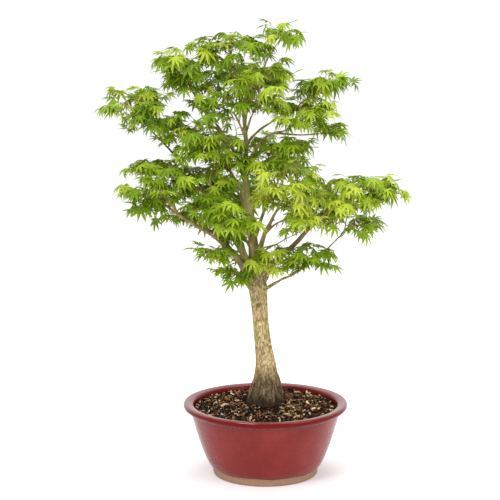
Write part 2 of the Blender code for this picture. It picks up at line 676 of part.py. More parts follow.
def grow_shoot(name, path, room, rng):
    """Two pairs of leaves and one at the stem's tip, each placed where there is room for it."""
    way = path[1] - path[0]
    level = Vector((way.x, way.y, 0.0001)).normalized()
    leaves = []
    for share, turn in ((0.38, 70), (0.46, -70), (0.80, 48), (0.86, -48), (0.95, 0)):
        node, _ = along(path, share)
        for _ in range(LEAF_TRIES):
            spread = math.radians(turn + rng.uniform(-16, 16))
            out = Matrix.Rotation(spread, 3, "Z") @ level
            out = (out + Vector((0, 0, rng.uniform(-0.25, 0.45)))).normalized()
            centre = node + out * PETIOLE_LENGTH * rng.uniform(0.75, 1.35)
            axes = leaf_axes(out, rng.uniform(-0.3, 0.3), rng.uniform(0.1, 0.7))
            blade = blade_geometry(centre, axes)
            petiole = petiole_geometry(node, centre)
            outer = petiole_geometry(node.lerp(centre, 0.3), node.lerp(centre, 0.8))
            if room.is_free(blade) and room.is_free(outer) and room.is_free(petiole, name):
                room.add(name, blade)
                room.add(name, petiole)
                leaves.append(add_solid("blade", blade, "leaf"))
                leaves.append(add_solid("petiole", petiole, "leaf"))
                break
    stem = add_solid(name, stem_geometry(path), "leaf")
    return combine(stem, leaves, "UNION")


# --- Soil --------------------------------------------------------------------------------


def make_soil():
    low = FLOOR_TOP + GAP
    heights = [low, FLOOR_TOP + FLOOR_ROUND / 3] + wall_heights()[1:]
    edge = [(inner_radius(height) - GAP, height) for height in heights if height < SOIL_LEVEL]
    top = [(inner_radius(SOIL_LEVEL) - GAP, SOIL_LEVEL)]
    reach = inner_radius(SOIL_LEVEL)
    for share in (0.72, 0.42):
        top.append((reach * share, SOIL_LEVEL + SOIL_MOUND * (1 - share)))
    profile = [(0, low)] + edge + top + [(0, SOIL_LEVEL + SOIL_MOUND)]
    soil = turned("soil", profile, POT_SIDES, "soil")
    pocket_top = low + SCREEN_THICKNESS + 3 * WIRE_RADIUS + SCREEN_ROOM
    cutters = [prism("pocket", SCREEN_RADIUS + SCREEN_ROOM, 0, pocket_top, 20, place)
               for place in hole_places()]
    buried = [(point, radius) for point, radius in zip(leader_path(), leader_radii(ROOT_GAP))
              if point.z < SOIL_LEVEL + 0.03]
    bottom = (buried[0][0] - Vector((0, 0, ROOT_GAP)), buried[0][1])
    path = [bottom[0]] + [point for point, _ in buried[1:]]
    cutters.append(tube("stump", path, [radius for _, radius in buried], TRUNK_SIDES, "soil"))
    cutters += root_tubes("root_room", ROOT_GAP)
    return combine(soil, cutters, "DIFFERENCE")


def main():
    clear_scene()
    make_pot()
    make_screens()
    make_wires()
    make_soil()
    wood, starts = grow_wood()
    room = Room()
    room.add("wood", mesh_of(wood))
    stems = {}
    for name, (start, way) in starts.items():
        stems[name] = clear_stem(start, way, room)
        room.add(name, stem_geometry(stems[name]))
    rng = random.Random(7)
    for name, path in stems.items():
        grow_shoot(name, path, room, rng)


main()
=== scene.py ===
import json
import math
import random

import bpy
import numpy as np
from mathutils import Matrix, Vector, noise

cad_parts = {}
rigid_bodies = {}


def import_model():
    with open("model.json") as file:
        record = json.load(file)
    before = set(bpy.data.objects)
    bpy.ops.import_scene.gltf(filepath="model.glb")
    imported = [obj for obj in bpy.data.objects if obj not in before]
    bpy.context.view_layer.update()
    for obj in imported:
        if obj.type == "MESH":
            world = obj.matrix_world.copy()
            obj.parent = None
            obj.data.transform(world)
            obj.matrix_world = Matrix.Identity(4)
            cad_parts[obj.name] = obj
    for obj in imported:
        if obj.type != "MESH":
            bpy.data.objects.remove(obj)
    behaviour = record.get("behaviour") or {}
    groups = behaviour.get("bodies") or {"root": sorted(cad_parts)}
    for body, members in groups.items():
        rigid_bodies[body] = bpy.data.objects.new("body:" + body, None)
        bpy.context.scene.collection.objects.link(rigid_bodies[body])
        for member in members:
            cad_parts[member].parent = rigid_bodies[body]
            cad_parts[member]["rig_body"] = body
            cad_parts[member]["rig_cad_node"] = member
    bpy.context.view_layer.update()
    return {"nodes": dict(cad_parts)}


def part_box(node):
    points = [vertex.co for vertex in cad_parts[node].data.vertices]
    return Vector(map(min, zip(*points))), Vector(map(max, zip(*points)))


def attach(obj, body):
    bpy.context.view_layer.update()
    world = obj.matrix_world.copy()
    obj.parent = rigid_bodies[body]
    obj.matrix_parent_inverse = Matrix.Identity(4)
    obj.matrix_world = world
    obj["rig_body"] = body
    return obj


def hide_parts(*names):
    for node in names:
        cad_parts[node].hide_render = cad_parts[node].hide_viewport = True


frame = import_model()
noise.seed_set(1)        # without this, noise_vector changes from run to run

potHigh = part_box("pot")[1]
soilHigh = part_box("soil")[1]
potHeight = potHigh.z
lipRadius = potHigh.x
soilRadius = soilHigh.x
soilMound = 0.011
soilLevel = soilHigh.z - soilMound


# small helpers

def clearSelection():
    bpy.ops.object.select_all(action="DESELECT")


def makeActive(piece):
    clearSelection()
    piece.select_set(True)
    bpy.context.view_layer.objects.active = piece


def applyModifier(piece, kind, **settings):
    makeActive(piece)
    modifier = piece.modifiers.new(kind.title(), kind)
    for name, value in settings.items():
        setattr(modifier, name, value)
    bpy.ops.object.modifier_apply(modifier=modifier.name)


def tidyMesh(piece, distance=0.00001):
    makeActive(piece)
    bpy.ops.object.mode_set(mode="EDIT")
    bpy.ops.mesh.select_all(action="SELECT")
    bpy.ops.mesh.remove_doubles(threshold=distance)
    bpy.ops.mesh.normals_make_consistent(inside=False)
    bpy.ops.object.mode_set(mode="OBJECT")


def placeInMesh(piece):
    makeActive(piece)
    bpy.ops.object.transform_apply(location=True, rotation=True, scale=True)


def joinPieces(pieces):
    clearSelection()
    for piece in pieces:
        piece.select_set(True)
    bpy.context.view_layer.objects.active = pieces[0]
    bpy.ops.object.join()
    return pieces[0]


def finishPiece(piece, name, material, nodes=(), smoothAngle=40):
    piece.name = name
    piece.data.name = name
    piece.data.materials.clear()
    piece.data.materials.append(material)
    makeActive(piece)
    bpy.ops.object.shade_smooth_by_angle(angle=math.radians(smoothAngle))
    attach(piece, "root")
    if nodes:
        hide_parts(*nodes)
    print(name, len(piece.data.polygons), "faces")
    return piece


def smoothPath(points, steps):
    points = [Vector(p) for p in points]
    ends = [points[0] * 2 - points[1], *points, points[-1] * 2 - points[-2]]
    path = []
    for a, b, c, d in zip(ends, ends[1:], ends[2:], ends[3:]):
        for i in range(steps):
            t = i / steps
            path.append(0.5 * (2 * b + (c - a) * t + (2 * a - 5 * b + 4 * c - d) * t * t
                               + (3 * b - 3 * c + d - a) * t ** 3))
    return path + [points[-1].copy()]


def pointAlong(path, share):
    lengths = [(b - a).length for a, b in zip(path, path[1:])]
    left = share * sum(lengths)
    for a, b, length in zip(path, path[1:], lengths):
        if left <= length:
            return a.lerp(b, left / length), (b - a).normalized()
        left -= length
    return path[-1].copy(), (path[-1] - path[-2]).normalized()


def setAttribute(mesh, label, values):
    mesh.attributes.new(label, "FLOAT", "POINT").data.foreach_set("value", values)


def takeShape(piece, ribs=None):
    # a small piece's points and faces, kept as the pattern of many copies
    points = np.array([vertex.co for vertex in piece.data.vertices])
    shape = {"points": points,
             "faces": [tuple(face.vertices) for face in piece.data.polygons],
             "ribs": np.zeros(len(points)) if ribs is None else np.array(ribs)}
    bpy.data.objects.remove(piece)
    return shape


def tubesFromPaths(name, paths, sideSteps):
    # one curve with a radius at each point, turned into a mesh with closed ends
    curve = bpy.data.curves.new(name, "CURVE")
    curve.dimensions = "3D"
    curve.bevel_depth = 1.0
    curve.bevel_resolution = sideSteps
    curve.use_fill_caps = True
    for path, radii in paths:
        spline = curve.splines.new("POLY")
        spline.points.add(len(path) - 1)
        for spot, place, radius in zip(spline.points, path, radii):
            spot.co = (*place, 1)
            spot.radius = radius
    piece = bpy.data.objects.new(name, curve)
    bpy.context.scene.collection.objects.link(piece)
    makeActive(piece)
    bpy.ops.object.convert(target="MESH")
    piece = bpy.context.view_layer.objects.active
    tidyMesh(piece)
    return piece


# materials

def newMaterial(name, roughness, **sockets):
    material = bpy.data.materials.new(name)
    material.use_nodes = True
    shader = material.node_tree.nodes["Principled BSDF"]
    shader.inputs["Roughness"].default_value = roughness
    for socket, value in sockets.items():
        shader.inputs[socket].default_value = value
    return material, material.node_tree, shader


def objectPlace(tree, scale=(1, 1, 1)):
    coordinate = tree.nodes.new("ShaderNodeTexCoord")
    mapping = tree.nodes.new("ShaderNodeMapping")
    mapping.inputs["Scale"].default_value = scale
    tree.links.new(coordinate.outputs["Object"], mapping.inputs["Vector"])
    return mapping.outputs["Vector"]


def noiseOf(tree, vector, scale, detail=3.0, roughness=0.55, distortion=0.0):
    node = tree.nodes.new("ShaderNodeTexNoise")
    node.inputs["Scale"].default_value = scale
    node.inputs["Detail"].default_value = detail
    node.inputs["Roughness"].default_value = roughness
    node.inputs["Distortion"].default_value = distortion
    tree.links.new(vector, node.inputs["Vector"])
    return node.outputs["Fac"]


def rangeOf(tree, value, low, high, toLow=0.0, toHigh=1.0):
    node = tree.nodes.new("ShaderNodeMapRange")
    node.interpolation_type = "SMOOTHSTEP"
    for socket, number in zip(("From Min", "From Max", "To Min", "To Max"),
                              (low, high, toLow, toHigh)):
        node.inputs[socket].default_value = number
    tree.links.new(value, node.inputs["Value"])
    return node.outputs["Result"]


def mathOf(tree, operation, first, second):
    node = tree.nodes.new("ShaderNodeMath")
    node.operation = operation
    for socket, value in zip(node.inputs, (first, second)):
        if isinstance(value, (int, float)):
            socket.default_value = value
        else:
            tree.links.new(value, socket)
    return node.outputs["Value"]


def swingOf(tree, value, amount):
    # a noise moved to swing about zero
    return mathOf(tree, "MULTIPLY", mathOf(tree, "SUBTRACT", value, 0.5), amount)


def mixColours(tree, factor, first, second, blend="MIX"):
    node = tree.nodes.new("ShaderNodeMix")
    node.data_type = "RGBA"
    node.blend_type = blend
    for socket, value in ((node.inputs[0], factor), (node.inputs[6], first),
                          (node.inputs[7], second)):
        if isinstance(value, (int, float)):
            socket.default_value = value
        elif isinstance(value, tuple):
            socket.default_value = (*value, 1.0)
        else:
            tree.links.new(value, socket)
    return node.outputs[2]


def colourRamp(tree, value, stops):
    node = tree.nodes.new("ShaderNodeValToRGB")
    elements = node.color_ramp.elements
    while len(elements) < len(stops):
        elements.new(0.5)
    for element, (place, colour) in zip(elements, stops):
        element.position = place
        element.color = (*colour, 1.0)
    tree.links.new(value, node.inputs["Fac"])
    return node.outputs["Color"]


def attributeOf(tree, name):
    node = tree.nodes.new("ShaderNodeAttribute")
    node.attribute_name = name
    return node.outputs["Fac"]


def heightOf(tree):
    coordinate = tree.nodes.new("ShaderNodeTexCoord")
    split = tree.nodes.new("ShaderNodeSeparateXYZ")
    tree.links.new(coordinate.outputs["Object"], split.inputs["Vector"])
    return split.outputs["Z"]


def addBump(tree, shader, height, strength, distance):
    node = tree.nodes.new("ShaderNodeBump")
    node.inputs["Strength"].default_value = strength
    node.inputs["Distance"].default_value = distance
    tree.links.new(height, node.inputs["Height"])
    tree.links.new(node.outputs["Normal"], shader.inputs["Normal"])


def grainyMaterial(name, roughness, scale, detail, stops, grainRoughness=0.55, bump=None, **sockets):
    # one noise gives the colour and, where it is wanted, the relief (strength, distance)
    material, tree, shader = newMaterial(name, roughness, **sockets)
    grain = noiseOf(tree, objectPlace(tree), scale, detail, grainRoughness)
    tree.links.new(colourRamp(tree, grain, stops), shader.inputs["Base Color"])
    if bump:
        addBump(tree, shader, grain, *bump)
    return material


# pot

potShape = {
    "segments": 128,
    "footRadius": 0.0965,
    "footHeight": 0.015,
    "footRingWidth": 0.016,
    "bossRadius": 0.018,
    "recess": 0.005,
    "floorTop": 0.013,
    "glazeStep": 0.003,
    "neckRadius": 0.1375,
    "lipRoll": 0.018,
    "wall": 0.0075,
    "holeRadius": 0.0095,
    "holeCircle": 0.050,
    "throwingRings": 0.00011,
    "wobble": 0.0005,
}


# bands in the glaze and bands of painted light and shade: how far below the top, half width, strength and
# colour
glazeAndPaintedLightBands = [
    (0.0004, 0.0016, 0.55, (0.25, 0.10, 0.07)),
    # partly wear and partly a painted reflection: a greyish band along the lip's lower edge
    (0.0134, 0.0016, 0.65, (0.20, 0.105, 0.085)),
    # painted shade: a dark band in the cove under the lip
    (0.0172, 0.0026, 0.70, (0.070, 0.026, 0.022)),
    # painted shade: a dark line along the groove in the wall
    (0.0430, 0.0016, 0.35, (0.085, 0.012, 0.010)),
]


def potOuterRadius(height):
    s = potShape
    foot = s["footRadius"] + s["glazeStep"]
    share = (height - s["footHeight"]) / (potHeight - s["lipRoll"] - s["footHeight"])
    radius = foot + (s["neckRadius"] - foot) * min(1.0, max(0.0, share)) ** 0.72
    rings = math.sin(height * 900) + 0.6 * math.sin(height * 410 + 1)
    groove = math.exp(-((height - 0.091) / 0.0012) ** 2)
    return radius + s["throwingRings"] * rings - 0.0006 * groove


def potProfile():
    s = potShape
    r, bevel = s["footRadius"], 0.0016
    ringInside = r - s["footRingWidth"]
    under = [(s["bossRadius"] - 0.001, 0.0), (s["bossRadius"], 0.001),
             (s["bossRadius"] + 0.001, s["recess"] - 0.001), (s["bossRadius"] + 0.003, s["recess"]),
             (ringInside - 0.003, s["recess"]), (ringInside - 0.001, s["recess"] - 0.001),
             (ringInside, 0.001), (ringInside + 0.001, 0.0)]
    foot = [(r - 2 * bevel, 0.0), (r - 0.8 * bevel, 0.0005), (r - 0.1 * bevel, 0.0018),
            (r + 0.2 * bevel, 0.004), (r + 0.5 * bevel, 0.009), (r + bevel, 0.0135),
            (r + 1.5 * bevel, 0.0150), (r + 2.1 * bevel, 0.0162)]
    top = potHeight - s["lipRoll"]
    count = 52
    heights = [0.0185 + (top - 0.0185) * i / count for i in range(count + 1)]
    wall = [(potOuterRadius(height), height) for height in heights]
    n, w = s["neckRadius"], lipRadius
    lip = [(n + 0.0004, top + 0.0012), (n + 0.002, top + 0.0030), (n + 0.0052, top + 0.0044),
           (w - 0.0052, top + 0.0058), (w - 0.0022, top + 0.0078), (w - 0.0007, top + 0.0100),
           (w, top + 0.0122), (w - 0.0003, top + 0.0144), (w - 0.0012, top + 0.0163),
           (w - 0.0026, top + 0.0174), (w - 0.0042, potHeight - 0.0001), (w - 0.0075, potHeight - 0.0005),
           (w - 0.0118, potHeight - 0.0012), (w - 0.0156, potHeight - 0.0021),
           (w - 0.0175, potHeight - 0.0030), (w - 0.0186, potHeight - 0.0046),
           (w - 0.0192, potHeight - 0.0070)]
    inside = [(potOuterRadius(h) - s["wall"], h) for h in (0.118, 0.105, 0.09, 0.07, 0.05, 0.034)]
    inside += [(0.088, 0.019), (0.081, s["floorTop"] + 0.001), (0.078, s["floorTop"])]
    return under + foot + wall + lip + inside


def makeGlaze():
    material, tree, shader = newMaterial("oxbloodGlaze", 0.2)
    place = objectPlace(tree)
    streaks = noiseOf(tree, objectPlace(tree, (1, 1, 0.22)), 55, 4, 0.6, 0.4)
    clouds = noiseOf(tree, place, 14, 3)
    specks = noiseOf(tree, place, 420, 2, 0.7)
    height = heightOf(tree)
    glaze = colourRamp(tree, clouds, [(0.28, (0.150, 0.008, 0.007)), (0.5, (0.185, 0.012, 0.009)),
                                      (0.72, (0.225, 0.019, 0.015))])
    streakShare = rangeOf(tree, streaks, 0.42, 0.72, 0.0, 0.5)
    glaze = mixColours(tree, streakShare, glaze, (0.13, 0.006, 0.005))
    speckShare = rangeOf(tree, specks, 0.66, 0.74, 0.0, 0.45)
    glaze = mixColours(tree, speckShare, glaze, (0.09, 0.012, 0.010))
    # the glaze is darker and clearer where it runs thin over the lip's outer edge
    worn = mathOf(tree, "ADD", height, swingOf(tree, noiseOf(tree, place, 45, 3), 0.0022))
    lipShare = rangeOf(tree, worn, potHeight - 0.0122, potHeight - 0.0098)
    glaze = mixColours(tree, lipShare, glaze, (0.125, 0.0030, 0.0030))
    # glaze bands, with painted shade in the cove and along the groove and a partly painted reflection at
    # the lip's lower edge
    for below, half, strength, colour in glazeAndPaintedLightBands:
        away = mathOf(tree, "ABSOLUTE", mathOf(tree, "SUBTRACT", worn, potHeight - below), 0.0)
        glaze = mixColours(tree, rangeOf(tree, away, 0.0, half, strength, 0.0), glaze, colour)
    # bare clay below the uneven glaze line
    runs = swingOf(tree, noiseOf(tree, objectPlace(tree, (1, 1, 0.02)), 9, 2), 0.011)
    fine = swingOf(tree, noiseOf(tree, place, 160, 2), 0.002)
    line = mathOf(tree, "ADD", height, mathOf(tree, "ADD", runs, fine))
    glazed = rangeOf(tree, line, 0.0136, 0.0144)
    rolled = rangeOf(tree, line, 0.0148, 0.0178, 1.0, 0.0)
    grain = noiseOf(tree, place, 520, 4, 0.7)
    clay = colourRamp(tree, grain, [(0.3, (0.19, 0.105, 0.068)), (0.5, (0.30, 0.172, 0.112)),
                                    (0.75, (0.42, 0.27, 0.185))])
    glaze = mixColours(tree, mathOf(tree, "MULTIPLY", rolled, 0.8), glaze, (0.10, 0.035, 0.025))
    tree.links.new(mixColours(tree, glazed, clay, glaze), shader.inputs["Base Color"])
    shine = rangeOf(tree, height, potHeight - 0.0125, potHeight - 0.0105, 0.24, 0.13)
    shine = mathOf(tree, "ADD", shine, rangeOf(tree, specks, 0.5, 0.7, 0.0, 0.06))
    tree.links.new(mathOf(tree, "MAXIMUM", shine, rangeOf(tree, glazed, 0.0, 1.0, 0.85, 0.05)),
                   shader.inputs["Roughness"])
    gloss = rangeOf(tree, height, potHeight - 0.0125, potHeight - 0.0105, 0.28, 0.10)
    topGloss = rangeOf(tree, height, potHeight - 0.0040, potHeight - 0.0016, 0.0, 0.42)
    gloss = mathOf(tree, "ADD", gloss, topGloss)
    tree.links.new(gloss, shader.inputs["Specular IOR Level"])
    relief = mathOf(tree, "ADD", mathOf(tree, "MULTIPLY", grain, mathOf(
        tree, "SUBTRACT", 1.0, glazed)), mathOf(tree, "MULTIPLY", noiseOf(tree, place, 60, 1), 0.35))
    addBump(tree, shader, relief, 0.25, 0.0010)
    return material


def makePot():
    s = potShape
    clearSelection()
    profile = potProfile()
    first = profile[0]
    bpy.ops.mesh.primitive_circle_add(vertices=s["segments"], radius=first[0], fill_type="NGON",
                                      location=(0, 0, first[1]))
    pot = bpy.context.object
    placeInMesh(pot)
    bpy.ops.object.mode_set(mode="EDIT")
    bpy.ops.mesh.select_all(action="SELECT")
    for (radius, height), (nextRadius, nextHeight) in zip(profile, profile[1:]):
        bpy.ops.mesh.extrude_edges_move(
            TRANSFORM_OT_translate={"value": (0, 0, nextHeight - height)})
        bpy.ops.transform.resize(value=(nextRadius / radius, nextRadius / radius, 1),
                                 center_override=(0, 0, nextHeight))
    bpy.ops.mesh.edge_face_add()
    bpy.ops.object.mode_set(mode="OBJECT")
    return pot


def cutDrains(pot):
    s = potShape
    cutters = []
    for turn in (90, 210, 330):
        place = (s["holeCircle"] * math.cos(math.radians(turn)),
                 s["holeCircle"] * math.sin(math.radians(turn)), s["floorTop"] / 2)
        bpy.ops.mesh.primitive_cylinder_add(vertices=40, radius=s["holeRadius"], depth=0.04,
                                            location=place)
        cutters.append(bpy.context.object)
    for turn in (30, 150):
        reach = s["footRadius"] - s["footRingWidth"] / 2
        bpy.ops.mesh.primitive_cylinder_add(
            vertices=24, radius=0.008, depth=0.05,
            location=(reach * math.cos(math.radians(turn)), reach * math.sin(math.radians(turn)), -0.0045),
            rotation=(0, math.radians(90), math.radians(turn)))
        cutters.append(bpy.context.object)
    for cutter in cutters:
        placeInMesh(cutter)
    cutter = joinPieces(cutters)
    applyModifier(pot, "BOOLEAN", operation="DIFFERENCE", object=cutter)
    bpy.data.objects.remove(cutter)


def throwByHand(pot):
    # a hand-thrown pot is a little out of round, and its lip waves by a hair
    for vertex in pot.data.vertices:
        place = vertex.co
        turn = math.atan2(place.y, place.x)
        share = place.z / potHeight
        out = 1 + potShape["wobble"] / lipRadius * share * (
            math.sin(2 * turn + 0.7) + 0.6 * math.sin(3 * turn + 2.1 + 4 * share))
        place.x *= out
        place.y *= out
        place.z += 0.0004 * share ** 4 * math.sin(2 * turn + 1.1)


pot = makePot()
cutDrains(pot)
throwByHand(pot)
finishPiece(pot, "glazedPot", makeGlaze(), ["pot"], 35)


# wood

leader = [
    ((0.000, 0.000, -0.020), 0.0400), ((0.000, 0.000, 0.000), 0.0385),
    ((0.000, 0.000, 0.012), 0.0362), ((0.001, 0.000, 0.025), 0.0328),
    ((0.002, 0.000, 0.042), 0.0290), ((0.002, 0.000, 0.055), 0.0250),
    ((0.001, 0.000, 0.068), 0.0210), ((0.000, 0.000, 0.088), 0.0185),
    ((-0.005, 0.000, 0.125), 0.0157), ((-0.009, 0.000, 0.165), 0.0147),
    ((-0.012, 0.000, 0.200), 0.0156), ((-0.015, 0.000, 0.230), 0.0178),
    ((-0.018, 0.000, 0.255), 0.0148), ((-0.021, 0.002, 0.290), 0.0106),
    ((-0.026, 0.007, 0.340), 0.0074), ((-0.035, 0.010, 0.400), 0.0054),
    ((-0.036, 0.004, 0.450), 0.0048), ((-0.036, 0.000, 0.500), 0.0040),
    ((-0.039, 0.000, 0.545), 0.0034), ((-0.030, 0.002, 0.580), 0.0028),
    ((-0.010, 0.002, 0.610), 0.0023), ((0.003, 0.000, 0.645), 0.0018),
]

# where each limb leaves its parent, its thickness, its route and tip over the soil, the half
# sizes of its pad of foliage, how many leafy shoots grow there and how bright its leaves are painted,
# which is painted light and shade: pads at the front lighter, pads at the back and inside darker
limbs = {
    "apex": ("leader", 0.985, 0.0018, [(0.012, 0.001, 0.658)], (0.027, 0.000, 0.678),
             (0.012, 0.016, 0.016), 6, 0.50),
    "top_middle": ("leader", 0.835, 0.0028, [(-0.050, -0.002, 0.595)], (-0.062, -0.005, 0.650),
                   (0.050, 0.048, 0.021), 17, 0.38),
    "top_right": ("leader", 0.930, 0.0022, [(0.000, 0.008, 0.598)], (-0.001, 0.014, 0.604),
                  (0.034, 0.036, 0.022), 9, 0.42),
    "top_front": ("leader", 0.785, 0.0026, [(-0.024, -0.035, 0.545)], (-0.010, -0.062, 0.570),
                  (0.048, 0.036, 0.036), 14, 0.50),
    "top_back": ("leader", 0.800, 0.0026, [(-0.034, 0.050, 0.552)], (-0.036, 0.092, 0.590),
                 (0.060, 0.042, 0.034), 12, 0.35),
    "top_left": ("leader", 0.770, 0.0024, [(-0.056, -0.020, 0.545)], (-0.070, -0.032, 0.552),
                 (0.036, 0.032, 0.034), 11, 0.32),
    "upper_left": ("leader", 0.655, 0.0048,
                   [(-0.054, 0.006, 0.468), (-0.079, 0.010, 0.510), (-0.108, 0.018, 0.548)],
                   (-0.132, 0.022, 0.592), (0.042, 0.046, 0.028), 13, 0.36),
    "crown_left": ("upper_left", 0.80, 0.0026, [(-0.136, -0.006, 0.592)], (-0.152, -0.018, 0.629),
                   (0.030, 0.034, 0.020), 8, 0.42),
    "inner_left": ("upper_left", 0.50, 0.0030, [(-0.100, -0.004, 0.523), (-0.122, -0.018, 0.524)],
                   (-0.148, -0.035, 0.498), (0.042, 0.038, 0.022), 9, 0.38),
    "middle_high": ("leader", 0.575, 0.0032, [(-0.056, -0.016, 0.430), (-0.078, -0.026, 0.458)],
                    (-0.100, -0.032, 0.478), (0.044, 0.036, 0.034), 11, 0.48),
    "high_left": ("leader", 0.385, 0.0072,
                  [(-0.051, 0.014, 0.303), (-0.084, 0.028, 0.358), (-0.128, 0.035, 0.420),
                   (-0.174, 0.030, 0.475)],
                  (-0.239, 0.020, 0.543), (0.042, 0.042, 0.034), 18, 0.45),
    "high_left_inner": ("high_left", 0.80, 0.0024, [(-0.196, 0.012, 0.514)], (-0.190, -0.004, 0.528),
                        (0.030, 0.028, 0.022), 8, 0.42),
    "broad_left": ("leader", 0.350, 0.0085,
                   [(-0.054, -0.016, 0.287), (-0.097, -0.030, 0.329), (-0.150, -0.036, 0.362)],
                   (-0.188, -0.036, 0.404), (0.060, 0.055, 0.034), 21, 0.42),
    "left_crest": ("broad_left", 0.85, 0.0026, [(-0.190, -0.030, 0.422)], (-0.190, -0.026, 0.444),
                   (0.052, 0.042, 0.010), 10, 0.36),
    "outer_left": ("broad_left", 0.78, 0.0028, [(-0.190, -0.014, 0.384)], (-0.213, -0.006, 0.383),
                   (0.032, 0.034, 0.022), 9, 0.42),
    "low_left": ("broad_left", 0.22, 0.0045, [(-0.082, 0.006, 0.320), (-0.112, 0.030, 0.332)],
                 (-0.133, 0.046, 0.341), (0.050, 0.044, 0.022), 10, 0.30),
    "middle_left": ("leader", 0.375, 0.0076, [(-0.047, -0.012, 0.302), (-0.072, -0.034, 0.348)],
                    (-0.104, -0.062, 0.396), (0.048, 0.040, 0.044), 14, 0.40),
    "middle": ("leader", 0.505, 0.0034, [(-0.045, -0.012, 0.392)], (-0.068, -0.026, 0.430),
               (0.036, 0.032, 0.030), 10, 0.44),
    "fork_left": ("leader", 0.372, 0.0024, [(-0.038, -0.014, 0.300)], (-0.054, -0.022, 0.328),
                  (0.018, 0.016, 0.018), 5, 0.36),
    "front": ("leader", 0.365, 0.0058, [(-0.021, -0.042, 0.292), (-0.032, -0.082, 0.336)],
              (-0.045, -0.112, 0.358), (0.042, 0.036, 0.036), 11, 0.50),
    "front_right": ("leader", 0.400, 0.0058,
                    [(-0.006, -0.030, 0.322), (0.010, -0.052, 0.356), (0.022, -0.072, 0.385)],
                    (0.030, -0.092, 0.400), (0.046, 0.042, 0.038), 17, 0.75),
    "front_low": ("front_right", 0.48, 0.0026, [(0.022, -0.064, 0.356)], (0.048, -0.076, 0.368),
                  (0.034, 0.030, 0.020), 8, 0.75),
    "hanging_right": ("front_right", 0.25, 0.0020, [(0.026, -0.044, 0.318)], (0.058, -0.050, 0.336),
                      (0.014, 0.014, 0.010), 3, 0.60),
    "upper_right": ("leader", 0.725, 0.0036,
                    [(-0.030, 0.005, 0.494), (-0.003, 0.015, 0.519), (0.057, 0.028, 0.556)],
                    (0.097, 0.030, 0.586), (0.038, 0.036, 0.016), 10, 0.34),
    "middle_right": ("leader", 0.672, 0.0042,
                     [(-0.021, -0.010, 0.478), (0.004, -0.020, 0.507), (0.034, -0.030, 0.516)],
                     (0.056, -0.036, 0.536), (0.046, 0.042, 0.030), 16, 0.50),
    "middle_right_low": ("middle_right", 0.30, 0.0024, [(0.012, -0.010, 0.480)], (0.036, -0.014, 0.480),
                         (0.034, 0.030, 0.013), 7, 0.46),
    "inner_middle": ("leader", 0.560, 0.0024, [(-0.014, -0.004, 0.430)], (0.004, -0.014, 0.450),
                     (0.034, 0.028, 0.022), 10, 0.46),
    "right_tip": ("middle_right", 0.66, 0.0022, [(0.072, -0.022, 0.508)], (0.114, -0.010, 0.512),
                  (0.016, 0.012, 0.006), 4, 0.45),
    "far_right": ("leader", 0.358, 0.0080,
                  [(0.012, -0.001, 0.270), (0.051, -0.006, 0.306), (0.094, -0.016, 0.355),
                   (0.130, -0.020, 0.382)],
                  (0.185, -0.020, 0.402), (0.043, 0.044, 0.022), 14, 0.48),
    "right_shoulder": ("far_right", 0.68, 0.0028, [(0.124, -0.034, 0.390)], (0.140, -0.050, 0.394),
                       (0.040, 0.032, 0.020), 9, 0.68),
    "inner_right": ("far_right", 0.52, 0.0032, [(0.090, 0.022, 0.362)], (0.106, 0.042, 0.379),
                    (0.036, 0.036, 0.026), 9, 0.40),
    "lower_right": ("leader", 0.350, 0.0036, [(0.028, -0.015, 0.243), (0.052, -0.026, 0.257)],
                    (0.075, -0.042, 0.282), (0.038, 0.038, 0.022), 9, 0.40),
    "outer_right": ("lower_right", 0.60, 0.0028, [(0.098, -0.014, 0.288), (0.130, 0.000, 0.316)],
                    (0.153, 0.006, 0.341), (0.052, 0.040, 0.026), 14, 0.44),
    "low_left_twig": ("leader", 0.345, 0.0024, [(-0.062, -0.014, 0.266)], (-0.098, -0.022, 0.291),
                      (0.018, 0.012, 0.009), 5, 0.42),
    "lowest_twig": ("leader", 0.322, 0.0020, [(-0.040, -0.010, 0.240)], (-0.056, -0.014, 0.253),
                    (0.016, 0.012, 0.012), 5, 0.40),
    "trunk_twig": ("leader", 0.338, 0.0020, [(-0.006, -0.032, 0.252)], (0.005, -0.048, 0.271),
                   (0.018, 0.010, 0.008), 4, 0.80),
    "fork_twig": ("leader", 0.365, 0.0020, [(0.000, -0.026, 0.270)], (0.012, -0.042, 0.290),
                  (0.012, 0.010, 0.008), 3, 0.66),
    "back": ("leader", 0.370, 0.0064, [(-0.019, 0.046, 0.302), (-0.022, 0.094, 0.338)],
             (-0.028, 0.136, 0.376), (0.056, 0.038, 0.036), 15, 0.40),
    "back_left": ("back", 0.30, 0.0036, [(-0.050, 0.072, 0.324), (-0.082, 0.100, 0.344)],
                  (-0.112, 0.122, 0.362), (0.042, 0.038, 0.028), 10, 0.35),
    "back_right": ("back", 0.48, 0.0038, [(0.004, 0.096, 0.366), (0.034, 0.114, 0.392)],
                   (0.062, 0.126, 0.412), (0.042, 0.038, 0.028), 10, 0.40),
    "back_high": ("back", 0.62, 0.0030, [(-0.030, 0.108, 0.400), (-0.040, 0.106, 0.440)],
                  (-0.050, 0.108, 0.480), (0.046, 0.036, 0.030), 10, 0.38),
}

woodLook = {
    "voxel": 0.0014,
    "smoothing": 5,
    "twigRadius": 0.0011,
    "flute": 0.0011,      # long hollows and swellings of the trunk
    "bark": 0.00042,      # fine upright ridges
    "knob": 0.0016,       # lumps at the fork
    "roots": 9,
    "trunkTop": 0.25,     # over the soil; above it the relief is finer
    "limbShare": 0.28,
    "baseRidges": 0.0022,
    "scarRim": 0.0011,
    "scarDip": 0.0009,
}


def overSoil(place):
    return Vector((place[0], place[1], place[2] + soilLevel))


